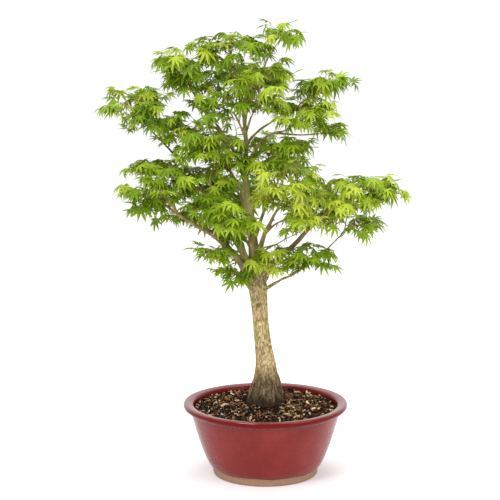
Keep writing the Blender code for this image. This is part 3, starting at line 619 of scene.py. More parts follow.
def limbPaths():
    paths = {"leader": smoothPath([overSoil(place) for place, _ in leader], 4)}
    for name, (parent, leaves, _, via, tip, *_) in limbs.items():
        start, _ = pointAlong(paths[parent], leaves)
        points = [start] + [overSoil(place) for place in via] + [overSoil(tip)]
        path = smoothPath(points, 5)
        # young wood kinks a little at each old bud
        for i, point in enumerate(path[1:-1], 1):
            sway = 0.0016 * min(1.0, i / 4)
            point += sway * noise.noise_vector(point * 45)
        paths[name] = path
    return paths


def leaderRadii(count):
    values = [radius for _, radius in leader]
    radii = []
    for i in range(count):
        place = i / (count - 1) * (len(values) - 1)
        low = min(int(place), len(values) - 2)
        radii.append(values[low] + (values[low + 1] - values[low]) * (place - low))
    return radii


def rootPaths(rng):
    roots = []
    for k in range(woodLook["roots"]):
        turn = 2 * math.pi * (k + rng.uniform(-0.25, 0.25)) / woodLook["roots"] + 0.2
        reach = rng.uniform(0.050, 0.066)
        way = Vector((math.cos(turn), math.sin(turn), 0))
        side = Vector((-way.y, way.x, 0)) * rng.uniform(-0.012, 0.012)
        lift = rng.uniform(-0.002, 0.002)
        points = [overSoil((0, 0, 0.030)) + way * 0.010, overSoil((0, 0, 0.012)) + way * 0.024,
                  overSoil((0, 0, 0.001 + lift)) + way * 0.037 + side * 0.3,
                  overSoil((0, 0, -0.004 + lift)) + way * 0.047 + side * 0.7,
                  overSoil((0, 0, -0.014)) + way * reach + side]
        size = rng.uniform(0.8, 1.15)
        radii = [0.012 * size, 0.0105 * size, 0.0072 * size, 0.0048 * size, 0.0028 * size]
        path = smoothPath(points, 3)
        grown = [radii[min(i // 3, 4)] + (radii[min(i // 3 + 1, 4)] - radii[min(i // 3, 4)]) * (i % 3) / 3
                 for i in range(len(path))]
        roots.append((path, grown))
    return roots


def growWood(paths, rng):
    leaderPath = paths["leader"]
    tubes = [(leaderPath, leaderRadii(len(leaderPath)))] + rootPaths(rng)
    for name, (_, _, thick, *_) in limbs.items():
        path = paths[name]
        last = woodLook["twigRadius"] * 1.15
        radii = [thick + (last - thick) * (i / (len(path) - 1)) ** 0.8 for i in range(len(path))]
        radii = [radius * (1 + 0.35 * math.exp(-i / 1.5) + 0.07 * noise.noise(point * 120))
                 for i, (point, radius) in enumerate(zip(path, radii))]
        tubes.append((path, radii))
    wood = tubesFromPaths("wood", tubes, 4)
    applyModifier(wood, "REMESH", mode="VOXEL", voxel_size=woodLook["voxel"], adaptivity=0.0)
    applyModifier(wood, "SMOOTH", factor=0.5, iterations=woodLook["smoothing"])
    return wood


# soft green patches on the trunk: middle over the soil, half width and half height
mossPatches = [((-0.0165, -0.011, 0.139), 0.0065, 0.012), ((0.0040, -0.011, 0.165), 0.0058, 0.013),
               ((-0.0175, -0.010, 0.162), 0.0055, 0.008), ((0.0075, -0.008, 0.143), 0.0050, 0.011),
               ((-0.0235, -0.010, 0.206), 0.0055, 0.008), ((0.0005, -0.013, 0.195), 0.0048, 0.006),
               ((-0.0040, 0.016, 0.140), 0.0140, 0.030),
               ((0.0000, 0.018, 0.075), 0.0120, 0.022)]


def carveBark(wood):
    w = woodLook
    fork = overSoil((-0.015, 0, 0.236))
    scars = [(overSoil((-0.013, -0.0155, 0.196)), 0.0062), (overSoil((0.006, -0.009, 0.118)), 0.004),
             (overSoil((-0.001, 0.013, 0.175)), 0.006)]
    middle = Vector((-0.022, 0.003))
    normals = [vertex.normal.copy() for vertex in wood.data.vertices]
    knots, mosses, outers = [], [], []
    for vertex, normal in zip(wood.data.vertices, normals):
        place = vertex.co.copy()
        level = place.z - soilLevel
        axis = overSoil((-0.008, 0, 0)).xy
        onTrunk = 1.0 if level < w["trunkTop"] and (place.xy - axis).length < 0.05 else w["limbShare"]
        upright = Vector((place.x * 62, place.y * 62, place.z * 14))
        move = w["flute"] * onTrunk * noise.noise(upright)
        base = max(0.0, 1 - level / 0.075)
        ridge = Vector((place.x * 70, place.y * 70, place.z * 16 + 5))
        move += w["baseRidges"] * base * noise.noise(ridge)
        grain = Vector((place.x * 480, place.y * 480, place.z * 120))
        move += w["bark"] * onTrunk * noise.noise(grain)
        near = math.exp(-((place - fork).length / 0.022) ** 2)
        move += w["knob"] * near * noise.noise(place * 230)
        for scar, size in scars:
            gap = (place - scar).length / size
            if gap < 2.2:
                move += (w["scarRim"] * math.exp(-((gap - 1) / 0.35) ** 2)
                         - w["scarDip"] * math.exp(-(gap / 0.6) ** 2))
        vertex.co = place + normal * move
        knots.append(max(math.exp(-((place - scar).length / size / 1.1) ** 2) for scar, size in scars))
        green = 0.0
        for spot, wide, tall in mossPatches:
            away = place - overSoil(spot)
            green = max(green, math.exp(-(away.xy.length / wide) ** 2 - (away.z / tall) ** 2))
        mosses.append(green)
        outers.append(max(0.0, min(1.0, (place.xy - middle).length / 0.07 - 0.25)))
    for label, values in (("knot", knots), ("moss", mosses), ("outer", outers)):
        setAttribute(wood.data, label, values)


def makeBark():
    material, tree, shader = newMaterial("mapleBark", 0.85)
    shader.inputs["Specular IOR Level"].default_value = 0.1
    place = objectPlace(tree)
    height = heightOf(tree)
    upright = objectPlace(tree, (1, 1, 0.28))
    ridges = noiseOf(tree, objectPlace(tree, (1, 1, 0.34)), 430, 5, 0.70, 0.5)
    scales = noiseOf(tree, upright, 150, 3, 0.6, 0.3)
    clouds = noiseOf(tree, place, 26, 3)
    tan = colourRamp(tree, ridges, [(0.34, (0.060, 0.033, 0.012)), (0.43, (0.22, 0.145, 0.060)),
                                    (0.52, (0.44, 0.325, 0.165)), (0.66, (0.70, 0.57, 0.355))])
    tan = mixColours(tree, rangeOf(tree, scales, 0.36, 0.52, 0.45, 0.0), tan, (0.24, 0.165, 0.065))
    mossy = mathOf(tree, "ADD", attributeOf(tree, "moss"),
                   swingOf(tree, noiseOf(tree, place, 150, 4, 0.65), 1.3))
    mossy = rangeOf(tree, mossy, 0.34, 0.80, 0.0, 0.85)
    bark = mixColours(tree, mossy, tan, colourRamp(tree, ridges, [
        (0.35, (0.11, 0.125, 0.022)), (0.5, (0.22, 0.26, 0.055)), (0.66, (0.36, 0.40, 0.12))]))
    # the base is dark and damp
    wander = swingOf(tree, noiseOf(tree, upright, 70, 4), 0.06)
    ground = mathOf(tree, "ADD", height, wander)
    damp = rangeOf(tree, ground, soilLevel + 0.048, soilLevel + 0.092, 1.0, 0.0)
    streaky = mathOf(tree, "ADD", mathOf(tree, "MULTIPLY", ridges, 0.5), mathOf(
        tree, "MULTIPLY", noiseOf(tree, objectPlace(tree, (1, 1, 0.16)), 150, 4, 0.65), 0.5))
    darkBark = colourRamp(tree, streaky, [(0.36, (0.012, 0.006, 0.003)), (0.47, (0.070, 0.042, 0.021)),
                                          (0.55, (0.165, 0.115, 0.062)), (0.66, (0.36, 0.275, 0.17))])
    mouldShare = rangeOf(tree, clouds, 0.50, 0.64, 0.0, 0.5)
    darkBark = mixColours(tree, mouldShare, darkBark, (0.095, 0.088, 0.026))
    footShare = rangeOf(tree, ground, soilLevel + 0.016, soilLevel + 0.044, 0.85, 0.0)
    darkBark = mixColours(tree, footShare, darkBark, (0.016, 0.008, 0.004))
    paleSpots = rangeOf(tree, noiseOf(tree, place, 340, 2, 0.5), 0.70, 0.76, 0.0, 0.7)
    darkBark = mixColours(tree, paleSpots, darkBark, (0.55, 0.50, 0.36))
    bark = mixColours(tree, damp, bark, darkBark)
    # the fork's collar is rough and speckled
    collar = mathOf(tree, "SUBTRACT", height, soilLevel + 0.240)
    collar = rangeOf(tree, mathOf(tree, "ABSOLUTE", collar, 0.0), 0.006, 0.022, 0.85, 0.0)
    speckle = noiseOf(tree, place, 260, 3, 0.7)
    collarBark = colourRamp(tree, speckle, [(0.36, (0.05, 0.036, 0.018)), (0.5, (0.23, 0.18, 0.075)),
                                            (0.66, (0.55, 0.46, 0.24))])
    bark = mixColours(tree, collar, bark, collarBark)
    knot = mathOf(tree, "ADD", attributeOf(tree, "knot"), swingOf(tree, speckle, 0.6))
    knot = rangeOf(tree, knot, 0.30, 0.85, 0.0, 0.85)
    bark = mixColours(tree, knot, bark, (0.105, 0.082, 0.030))
    # young wood above it is olive, brown and streaked
    young = colourRamp(tree, noiseOf(tree, upright, 70, 4, 0.6), [
        (0.30, (0.13, 0.085, 0.035)), (0.45, (0.27, 0.225, 0.075)), (0.58, (0.42, 0.36, 0.15)),
        (0.75, (0.52, 0.44, 0.22))])
    slender = colourRamp(tree, noiseOf(tree, upright, 90, 4, 0.65), [
        (0.32, (0.075, 0.040, 0.022)), (0.46, (0.19, 0.115, 0.060)), (0.60, (0.30, 0.22, 0.10)),
        (0.76, (0.46, 0.37, 0.22))])
    young = mixColours(tree, attributeOf(tree, "outer"), young, slender)
    crown = rangeOf(tree, height, soilLevel + 0.25, soilLevel + 0.28)
    bark = mixColours(tree, crown, bark, young)
    tree.links.new(bark, shader.inputs["Base Color"])
    relief = mathOf(tree, "ADD", mathOf(tree, "MULTIPLY", ridges, 0.8),
                    mathOf(tree, "MULTIPLY", scales, 0.6))
    addBump(tree, shader, relief, 0.7, 0.0012)
    return material


woodRng = random.Random(3)
paths = limbPaths()
wood = growWood(paths, woodRng)
carveBark(wood)
finishPiece(wood, "trunkAndLimbs", makeBark(), ["trunk_and_branches"], 60)


# leaves

leafShape = {
    "length": 0.0295,
    "lobes": [(0, 1.00), (36, 0.94), (72, 0.76), (108, 0.46)],
    "palm": 0.30,         # how far in the notches come
    "lobeWidth": 0.118,
    "thickness": 0.0003,
    "petiole": 0.0165,
    "petioleRadius": 0.00042,
}

# nod of the blade, droop of the lobes, how far the blade folds upward along its middle
leafKinds = [(-6, 0.16, 0.10), (8, 0.26, 0.05), (24, 0.30, 0.16), (40, 0.34, 0.02),
             (28, 0.48, -0.04), (60, 0.36, 0.12), (14, 0.40, 0.22), (50, 0.52, 0.08)]


def leafBlade(nod, droop, fold, lean):
    s = leafShape
    length = s["length"]
    lobes = sorted({(sign * turn, reach) for turn, reach in s["lobes"] for sign in (1, -1)})
    notches = []
    for (a, reachA), (b, reachB) in zip(lobes, lobes[1:]):
        notches.append(((a + b) / 2, s["palm"] * (reachA + reachB) / 2))
    notches = [(lobes[0][0] - 26, 0.13)] + notches + [(lobes[-1][0] + 26, 0.13)]
    pieces = []
    for k, (turn, reach) in enumerate(lobes):
        clearSelection()
        bpy.ops.mesh.primitive_grid_add(x_subdivisions=2, y_subdivisions=2, size=1)
        lobe = bpy.context.object
        for vertex in lobe.data.vertices:
            side, row = round(vertex.co.x * 2), round(vertex.co.y * 2) + 1
            angle, out, lift = turn, 0.0, 0.0
            if row == 0 and side:
                angle, out = notches[k + (side > 0)]
            elif row == 1:
                out = (0.50 if side else 0.54) * reach
                angle = turn + side * math.degrees(math.atan2(s["lobeWidth"], 0.50))
                lift = 0.035 * reach * abs(side)
            elif row == 2:
                out = reach
            flat = math.radians(angle)
            x, y = out * math.sin(flat), out * math.cos(flat)
            z = lift - droop * out ** 1.7 + fold * abs(x) + lean * 0.1 * x * y
            vertex.co = Vector((x, y, z)) * length
        pieces.append(lobe)
    return joinPieces(pieces)


def closeBlade(blade):
    # the underside is a copy of the top, joined to it all round the rim
    tidyMesh(blade)
    base = leafShape["length"] * 0.15
    for part in (blade.data.polygons, blade.data.edges, blade.data.vertices):
        for item in part:
            item.select = False
    for vertex in blade.data.vertices:
        behind = vertex.co.y < 0 and abs(vertex.co.x) < base and vertex.co.xy.length < base
        vertex.select = behind or vertex.co.length < 0.00001
    bpy.ops.object.mode_set(mode="EDIT")
    bpy.ops.mesh.edge_face_add()      # a small web behind the centre, where the stalk joins
    bpy.ops.mesh.select_all(action="SELECT")
    bpy.ops.mesh.quads_convert_to_tris(quad_method="BEAUTY", ngon_method="BEAUTY")
    bpy.ops.mesh.duplicate()
    bpy.ops.mesh.flip_normals()
    bpy.ops.object.mode_set(mode="OBJECT")
    half = len(blade.data.vertices) // 2
    rim = set()
    counts = {}
    for face in blade.data.polygons:
        for pair in face.edge_keys:
            counts[pair] = counts.get(pair, 0) + 1
    for pair, count in counts.items():
        if count == 1:
            rim.update(pair)
    for index, vertex in enumerate(blade.data.vertices):
        if index >= half and index not in rim:
            vertex.co.z -= leafShape["thickness"]
    tidyMesh(blade, 0.00003)
    return blade


def makeLeafKind(index, nod, droop, fold):
    s = leafShape
    blade = closeBlade(leafBlade(nod, droop, fold, 1 if index % 2 else -1))
    ribs = []
    for vertex in blade.data.vertices:
        out = math.hypot(vertex.co.x, vertex.co.y) / s["length"]
        turn = math.degrees(math.atan2(vertex.co.x, vertex.co.y))
        onRib = min(abs(turn - sign * t) for t, _ in s["lobes"] for sign in (1, -1)) < 3
        ribs.append(1.0 if onRib or out < 0.05 else 0.0)
    end = Vector((0, s["petiole"], 0.0035))
    turnDown = Matrix.Rotation(-math.radians(nod), 4, "X")
    blade.data.transform(Matrix.Translation(end) @ turnDown)
    clearSelection()
    bpy.ops.mesh.primitive_circle_add(vertices=3, radius=s["petioleRadius"], fill_type="NGON",
                                      rotation=(math.radians(-90), 0, 0))
    stalk = bpy.context.object
    placeInMesh(stalk)
    bpy.ops.object.mode_set(mode="EDIT")
    bpy.ops.mesh.select_all(action="SELECT")
    for step in ((0, end.y * 0.5, end.z * 0.72), (0, end.y * 0.5, end.z * 0.28)):
        bpy.ops.mesh.extrude_region_move(TRANSFORM_OT_translate={"value": step})
    bpy.ops.mesh.select_all(action="SELECT")
    bpy.ops.mesh.normals_make_consistent(inside=False)
    bpy.ops.object.mode_set(mode="OBJECT")
    ribs += [2.0] * len(stalk.data.vertices)
    return takeShape(joinPieces([blade, stalk]), ribs)


def copiesOf(name, shapes, placements):
    # each placement is (shape, matrix, tone); every copy has its own vertices in one mesh
    points, faces, tones, ribs = [], [], [], []
    start = 0
    for kind, matrix, tone in placements:
        shape = shapes[kind]
        turned = shape["points"] @ np.array(matrix.to_3x3()).T + np.array(matrix.translation)
        points.append(turned)
        faces += [tuple(start + i for i in face) for face in shape["faces"]]
        tones.append(np.full(len(turned), tone))
        ribs.append(shape["ribs"])
        start += len(turned)
    mesh = bpy.data.meshes.new(name)
    mesh.from_pydata(np.concatenate(points).tolist(), [], faces)
    for label, values in (("tone", np.concatenate(tones)), ("rib", np.concatenate(ribs))):
        setAttribute(mesh, label, values.astype(np.float32))
    piece = bpy.data.objects.new(name, mesh)
    bpy.context.scene.collection.objects.link(piece)
    return piece


def makeLeafMaterial():
    material, tree, shader = newMaterial("mapleLeaf", 0.5)
    shader.inputs["Specular IOR Level"].default_value = 0.14
    shader.inputs["Subsurface Weight"].default_value = 0.18
    shader.inputs["Subsurface Radius"].default_value = (0.35, 0.6, 0.1)
    shader.inputs["Subsurface Scale"].default_value = 0.004
    place = objectPlace(tree)
    tone = attributeOf(tree, "tone")
    mottle = swingOf(tree, noiseOf(tree, place, 150, 3), 0.35)
    shade = mathOf(tree, "ADD", tone, mottle)
    green = colourRamp(tree, shade, [(0.0, (0.036, 0.088, 0.002)), (0.25, (0.078, 0.165, 0.003)),
                                     (0.5, (0.155, 0.262, 0.006)), (0.75, (0.295, 0.40, 0.016)),
                                     (1.0, (0.46, 0.53, 0.045))])
    rib = attributeOf(tree, "rib")
    vein = rangeOf(tree, rib, 0.86, 1.0, 0.0, 0.55)
    green = mixColours(tree, vein, green, (0.36, 0.46, 0.05))
    stalk = rangeOf(tree, rib, 1.4, 1.6)
    stalkColour = colourRamp(tree, noiseOf(tree, place, 60, 2), [(0.4, (0.24, 0.29, 0.03)),
                                                               (0.62, (0.34, 0.13, 0.05))])
    green = mixColours(tree, stalk, green, stalkColour)
    tree.links.new(green, shader.inputs["Base Color"])
    addBump(tree, shader, mathOf(tree, "ADD", rib, mathOf(
        tree, "MULTIPLY", noiseOf(tree, place, 900, 3), 0.5)), 0.3, 0.0005)
    return material


shootLook = {
    "stem": 0.024,
    "pairs": 3,
    "spread": 62,
    "sizes": (0.64, 1.12),
    "apart": 0.012,
    "missing": 0.06,      # share of the leaves that have dropped
    "yaw": (-16, 16),
    "pitch": (-22, 30),
    "roll": (-24, 24),
}


def shootStarts(name, rng):
    # spots in the pad, kept apart, more of them near its outside
    tip, pad, count = limbs[name][4:7]
    middle = overSoil(tip) + Vector((0, 0, pad[2] * 0.35))
    spots = []
    tries = 0
    while len(spots) < count and tries < 900:
        tries += 1
        way = Vector((rng.gauss(0, 1), rng.gauss(0, 1), rng.gauss(0, 1))).normalized()
        out = rng.uniform(0.2, 1.0) ** 0.5
        spot = middle + Vector((way.x * pad[0], way.y * pad[1], way.z * pad[2])) * out
        room = shootLook["apart"] * (1 - tries / 1800)
        if all((spot - other).length > room for other in spots):
            spots.append(spot)
    return middle, spots


def growFoliage(paths, kinds, material, rng):
    twigs, stems = [], []
    total = 0
    # each pad's tone carries its painted light and shade
    for name, (*_, tone) in limbs.items():
        path = paths[name]
        middle, spots = shootStarts(name, rng)
        placements = []
        grown = [(point, way) for point, way in
                 (pointAlong(path, 0.45 + 0.55 * k / 11) for k in range(12))]
        spots.sort(key=lambda spot: (spot - path[-1]).length)
        for spot in spots:
            outward = spot - middle
            outward.z *= 0.4
            start, way = min(grown, key=lambda place: (spot - place[0]).length
                             * (1.7 - (spot - place[0]).normalized().dot(place[1])))
            leave = spot - start
            heading = (outward.normalized() * 0.8 + leave.normalized() * 0.6
                       + Vector((0, 0, rng.uniform(0.0, 0.35)))).normalized()
            base = spot - heading * shootLook["stem"] * 0.5
            reach = (base - start).length
            bend = start.lerp(base, 0.5) + (way * 0.18 + Vector((0, 0, 0.08))) * reach
            bend += noise.noise_vector(spot * 60) * 0.12 * reach
            twig = smoothPath([start, bend, base], 4)
            thin = woodLook["twigRadius"]
            radii = [thin * (1.1 - 0.45 * i / (len(twig) - 1)) for i in range(len(twig))]
            twigs.append((twig, radii))
            for share in (0.5, 0.8, 1.0):
                grown.append(pointAlong(twig, share))
            length = shootLook["stem"] * rng.uniform(0.75, 1.3)
            tipOfStem = base + heading * length
            stem = smoothPath([base - heading * 0.002, base.lerp(tipOfStem, 0.5)
                               + Vector((0, 0, 0.0015)), tipOfStem], 2)
            stems.append((stem, [thin * (0.72 - 0.35 * i / (len(stem) - 1)) for i in range(len(stem))]))
            aim = math.atan2(heading.x, heading.y)
            # painted light and shade: the pad's painted tone, with leaves higher in the pad painted
            # lighter
            toneWithPaintedLight = tone + rng.gauss(0, 0.10) + 3.0 * (spot.z - middle.z)
            for pair in range(shootLook["pairs"]):
                along = 0.25 + 0.75 * pair / (shootLook["pairs"] - 1)
                node, _ = pointAlong(stem, along)
                wide = shootLook["spread"] * (1.15 - 0.5 * along)
                young = 1.0 - 0.22 * along
                for side in (-1, 1):
                    if rng.random() < shootLook["missing"]:
                        continue
                    turn = aim + math.radians(side * wide + rng.uniform(*shootLook["yaw"]))
                    pitch = math.radians(rng.uniform(*shootLook["pitch"]))
                    roll = math.radians(rng.uniform(*shootLook["roll"]))
                    size = young * rng.uniform(*shootLook["sizes"])
                    spin = (Matrix.Rotation(-turn, 4, "Z") @ Matrix.Rotation(pitch, 4, "X")
                            @ Matrix.Rotation(roll, 4, "Y"))
                    matrix = Matrix.Translation(node) @ spin @ Matrix.Scale(size, 4)
                    leafTone = toneWithPaintedLight + rng.gauss(0, 0.09) + 0.10 * along
                    placements.append((rng.randrange(len(kinds)), matrix,
                                       min(1.0, max(0.0, leafTone))))
            turn = aim + math.radians(rng.uniform(-20, 20))
            pitch = math.radians(rng.uniform(-10, 30))
            spin = Matrix.Rotation(-turn, 4, "Z") @ Matrix.Rotation(pitch, 4, "X")
            matrix = Matrix.Translation(tipOfStem) @ spin @ Matrix.Scale(0.8 * rng.uniform(0.8, 1.05), 4)
            placements.append((rng.randrange(len(kinds)), matrix, min(1.0, toneWithPaintedLight + 0.12)))
        total += len(placements)
        foliage = copiesOf("foliage", kinds, placements)
        prefix = "shoot_" + name + "_"
        nodes = [node for node in frame["nodes"]
                 if node.startswith(prefix) and node[len(prefix):].isdigit()]
        title = "foliage" + "".join(word.title() for word in name.split("_"))
        finishPiece(foliage, title, material, nodes, 60)
    print(total, "leaves")
    return twigs, stems


def makeTwigMaterial():
    material, tree, shader = newMaterial("twigBark", 0.6)
    place = objectPlace(tree)
    colour = colourRamp(tree, noiseOf(tree, place, 45, 4), [
        (0.32, (0.075, 0.035, 0.018)), (0.47, (0.19, 0.085, 0.035)), (0.60, (0.26, 0.19, 0.055)),
        (0.75, (0.36, 0.30, 0.13))])
    tree.links.new(colour, shader.inputs["Base Color"])
    addBump(tree, shader, noiseOf(tree, place, 700, 3), 0.4, 0.0004)
    return material


leafRng = random.Random(11)
kinds = [makeLeafKind(i, *kind) for i, kind in enumerate(leafKinds)]
leafMaterial = makeLeafMaterial()
twigRoutes, stemRoutes = growFoliage(paths, kinds, leafMaterial, leafRng)
finishPiece(tubesFromPaths("twigs", twigRoutes, 1), "fineTwigs", makeTwigMaterial(), (), 60)
stems = tubesFromPaths("stems", stemRoutes, 1)
for label, value in (("tone", 0.6), ("rib", 2.0)):
    setAttribute(stems.data, label, [value] * len(stems.data.vertices))
finishPiece(stems, "greenStems", leafMaterial, (), 60)


# soil

soilLook = {
    "voxel": 0.0035,
    "rough": 0.0022,
    "rise": 0.0035,       # the crumbs heap up almost to the pot's lip
    "crumbs": 6200,
    "chips": 230,
    "grit": 150,
    "beads": 11,
    "rootlets": 80,
    "settled": 0.0012,    # how far the bed lies below the crumbs' middles
    "rim": 0.0020,        # the crumbs reach this far past the solid soil, against the pot
    "clear": 0.034,       # radius of the trunk's base, which no crumb covers
    "rootletReach": (0.033, 0.095),
    "rootletStep": 0.0042,
    "rootletRadii": (0.00025, 0.0005),
}


def soilHeight(x, y):
    out = math.hypot(x, y) / soilRadius
    waves = 0.0016 * noise.noise(Vector((x * 34, y * 34, 1.0)))
    mound = soilMound * (1 - min(1.0, out))
    return soilLevel + soilLook["rise"] + mound + waves - soilLook["settled"]


def makeSoilBed():
    bed = frame["nodes"]["soil"].copy()
    bed.data = bed.data.copy()
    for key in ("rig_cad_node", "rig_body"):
        if key in bed:
            del bed[key]
    bed.parent = None
    bpy.context.scene.collection.objects.link(bed)
    tidyMesh(bed, 0.00001)
    applyModifier(bed, "REMESH", mode="VOXEL", voxel_size=soilLook["voxel"], adaptivity=0.0)
    for vertex in bed.data.vertices:
        place = vertex.co
        if place.z > soilLevel - 0.003 and vertex.normal.z > 0.3:
            place.x *= 1.02
            place.y *= 1.02
            place.z = soilHeight(place.x, place.y) + soilLook["rough"] * noise.noise(place * 240)
    return bed


def makeCrumbShape(rng, stretch, rounds):
    clearSelection()
    bpy.ops.mesh.primitive_ico_sphere_add(subdivisions=rounds, radius=1.0)
    crumb = bpy.context.object
    for vertex in crumb.data.vertices:
        vertex.co *= rng.uniform(0.72, 1.18)
        vertex.co = Vector((vertex.co.x * stretch[0], vertex.co.y * stretch[1], vertex.co.z * stretch[2]))
    return takeShape(crumb)


def makeChipShape(rng):
    # a splinter of bark: a slab that narrows towards both ends, bent a little, with its corners jittered
    clearSelection()
    bpy.ops.mesh.primitive_cube_add(size=2)
    chip = bpy.context.object
    chip.scale = (1.0, 0.5, 0.22)
    placeInMesh(chip)
    bpy.ops.object.mode_set(mode="EDIT")
    bpy.ops.mesh.select_all(action="SELECT")
    bpy.ops.mesh.subdivide(number_cuts=1)
    bpy.ops.object.mode_set(mode="OBJECT")
    for vertex in chip.data.vertices:
        end = abs(vertex.co.x)
        vertex.co.y *= 1 - 0.45 * end * rng.uniform(0.4, 1.2)
        vertex.co.z += rng.uniform(-0.07, 0.07) + 0.12 * math.sin(2 * vertex.co.x)
        vertex.co.x *= rng.uniform(0.85, 1.12)
    return takeShape(chip)


def scatterOnSoil(rng, count, shapes, sizes, tones, sink, inner):
    placements = []
    rim = soilRadius + soilLook["rim"]
    while len(placements) < count:
        out = math.sqrt(rng.uniform((inner / rim) ** 2, 1.0)) * rim
        turn = rng.uniform(0, 2 * math.pi)
        x, y = out * math.cos(turn), out * math.sin(turn)
        largest = sizes[1] if rng.random() < 0.35 else (sizes[0] + sizes[1]) / 2
        size = rng.uniform(sizes[0], largest)
        if out + size > rim + 0.0005:
            continue
        lift = size * sink + rng.uniform(0, 0.0012)
        spin = (Matrix.Rotation(rng.uniform(0, 6.28), 4, "Z")
                @ Matrix.Rotation(rng.gauss(0, 0.4), 4, "X")
                @ Matrix.Rotation(rng.gauss(0, 0.4), 4, "Y"))
        matrix = Matrix.Translation((x, y, soilHeight(x, y) + lift)) @ spin @ Matrix.Scale(size, 4)
        # painted shade: pieces near the trunk's base are painted darker
        shade = 0.25 * max(0.0, 1 - (out - soilLook["clear"]) / 0.030)
        kind = rng.randrange(len(shapes))
        placements.append((kind, matrix, max(0.0, rng.uniform(*tones) - shade)))
    return placements


def makeSoilMaterial(name, stops, roughness, grainScale):
    material, tree, shader = newMaterial(name, roughness)
    shader.inputs["Specular IOR Level"].default_value = 0.08
    place = objectPlace(tree)
    grain = noiseOf(tree, place, grainScale, 4, 0.65)
    shade = mathOf(tree, "ADD", attributeOf(tree, "tone"), swingOf(tree, grain, 0.5))
    tree.links.new(colourRamp(tree, shade, stops), shader.inputs["Base Color"])
    addBump(tree, shader, grain, 0.6, 0.0008)
    return material


soilStops = {
    "crumbs": [(0.0, (0.003, 0.0015, 0.0008)), (0.45, (0.009, 0.004, 0.002)),
               (0.70, (0.040, 0.016, 0.007)), (0.86, (0.16, 0.072, 0.026)), (1.0, (0.40, 0.25, 0.12))],
    "chips": [(0.0, (0.13, 0.055, 0.022)), (0.4, (0.36, 0.19, 0.085)), (0.7, (0.58, 0.38, 0.19)),
              (1.0, (0.74, 0.58, 0.36))],
    "grit": [(0.0, (0.32, 0.28, 0.22)), (1.0, (0.72, 0.68, 0.60))],
    "beads": [(0.35, (0.0, 0.20, 0.10)), (0.65, (0.02, 0.42, 0.22))],
    "bed": [(0.35, (0.005, 0.0035, 0.0025)), (0.55, (0.018, 0.010, 0.006)), (0.75, (0.06, 0.030, 0.015))],
    "rootlets": [(0.35, (0.22, 0.075, 0.025)), (0.65, (0.55, 0.30, 0.11))],
}


def coverSoil(rng):
    crumbs = [makeCrumbShape(rng, stretch, 1) for stretch in (
        (1, 1, 0.8), (1.3, 0.8, 0.7), (1, 0.9, 1), (1.5, 0.7, 0.5))]
    chips = [makeChipShape(rng) for _ in range(5)]
    bead = makeCrumbShape(random.Random(1), (1, 1, 1), 2)
    bead["points"] = bead["points"] / np.linalg.norm(bead["points"], axis=1)[:, None]
    stops = soilStops
    # shapes, material, sizes, tones, how far it stands up, radius kept clear and edge angle
    layers = {
        "crumbs": (crumbs, makeSoilMaterial("soilCrumbs", stops["crumbs"], 0.9, 500),
                   (0.0007, 0.0030), (0.0, 0.9), 0.35, soilLook["clear"], 30),
        "chips": (chips, makeSoilMaterial("barkChips", stops["chips"], 0.8, 380),
                  (0.0014, 0.0052), (0.1, 1.0), 0.5, 0.042, 30),
        "grit": (crumbs, makeSoilMaterial("pumiceGrit", stops["grit"], 0.9, 600),
                 (0.0009, 0.0021), (0.0, 1.0), 0.8, 0.042, 30),
        "beads": ([bead], grainyMaterial("fertiliserBeads", 0.25, 700, 2, stops["beads"]),
                  (0.0014, 0.0017), (0.5, 0.5), 1.6, 0.06, 60),
    }
    for name, (shapes, material, sizes, tones, sink, inner, smooth) in layers.items():
        spots = scatterOnSoil(rng, soilLook[name], shapes, sizes, tones, sink, inner)
        finishPiece(copiesOf(name, shapes, spots), material.name, material, (), smooth)


def rootletRoutes(rng):
    routes = []
    for _ in range(soilLook["rootlets"]):
        turn = rng.uniform(0, 2 * math.pi)
        out = rng.uniform(*soilLook["rootletReach"])
        x, y = out * math.cos(turn), out * math.sin(turn)
        heading = turn + rng.uniform(-1.6, 1.6)
        path = []
        for _ in range(7):
            arch = 0.0027 + 0.0014 * math.sin(len(path) * 1.7)
            path.append(Vector((x, y, soilHeight(x, y) + arch)))
            heading += rng.uniform(-0.5, 0.5)
            x += soilLook["rootletStep"] * math.cos(heading)
            y += soilLook["rootletStep"] * math.sin(heading)
        path = smoothPath(path, 2)
        thin = rng.uniform(*soilLook["rootletRadii"])
        routes.append((path, [thin * (1 - 0.6 * i / len(path)) for i in range(len(path))]))
    return routes


soilRng = random.Random(23)
bedMaterial = grainyMaterial("dampSoil", 0.95, 420, 5, soilStops["bed"], 0.7, (0.8, 0.002))
finishPiece(makeSoilBed(), "soilBed", bedMaterial, ["soil"], 40)
coverSoil(soilRng)
rootMaterial = grainyMaterial("rootlets", 0.8, 90, 3, soilStops["rootlets"])
rootlets = tubesFromPaths("rootlets", rootletRoutes(soilRng), 0)
finishPiece(rootlets, "rootlets", rootMaterial, (), 60)


# dried buds and seed clusters on old twigs

budLook = {
    "clusters": 30,
    "buds": (5, 9),
    "spread": 0.0019,
    "sizes": (0.0012, 0.0024),
}


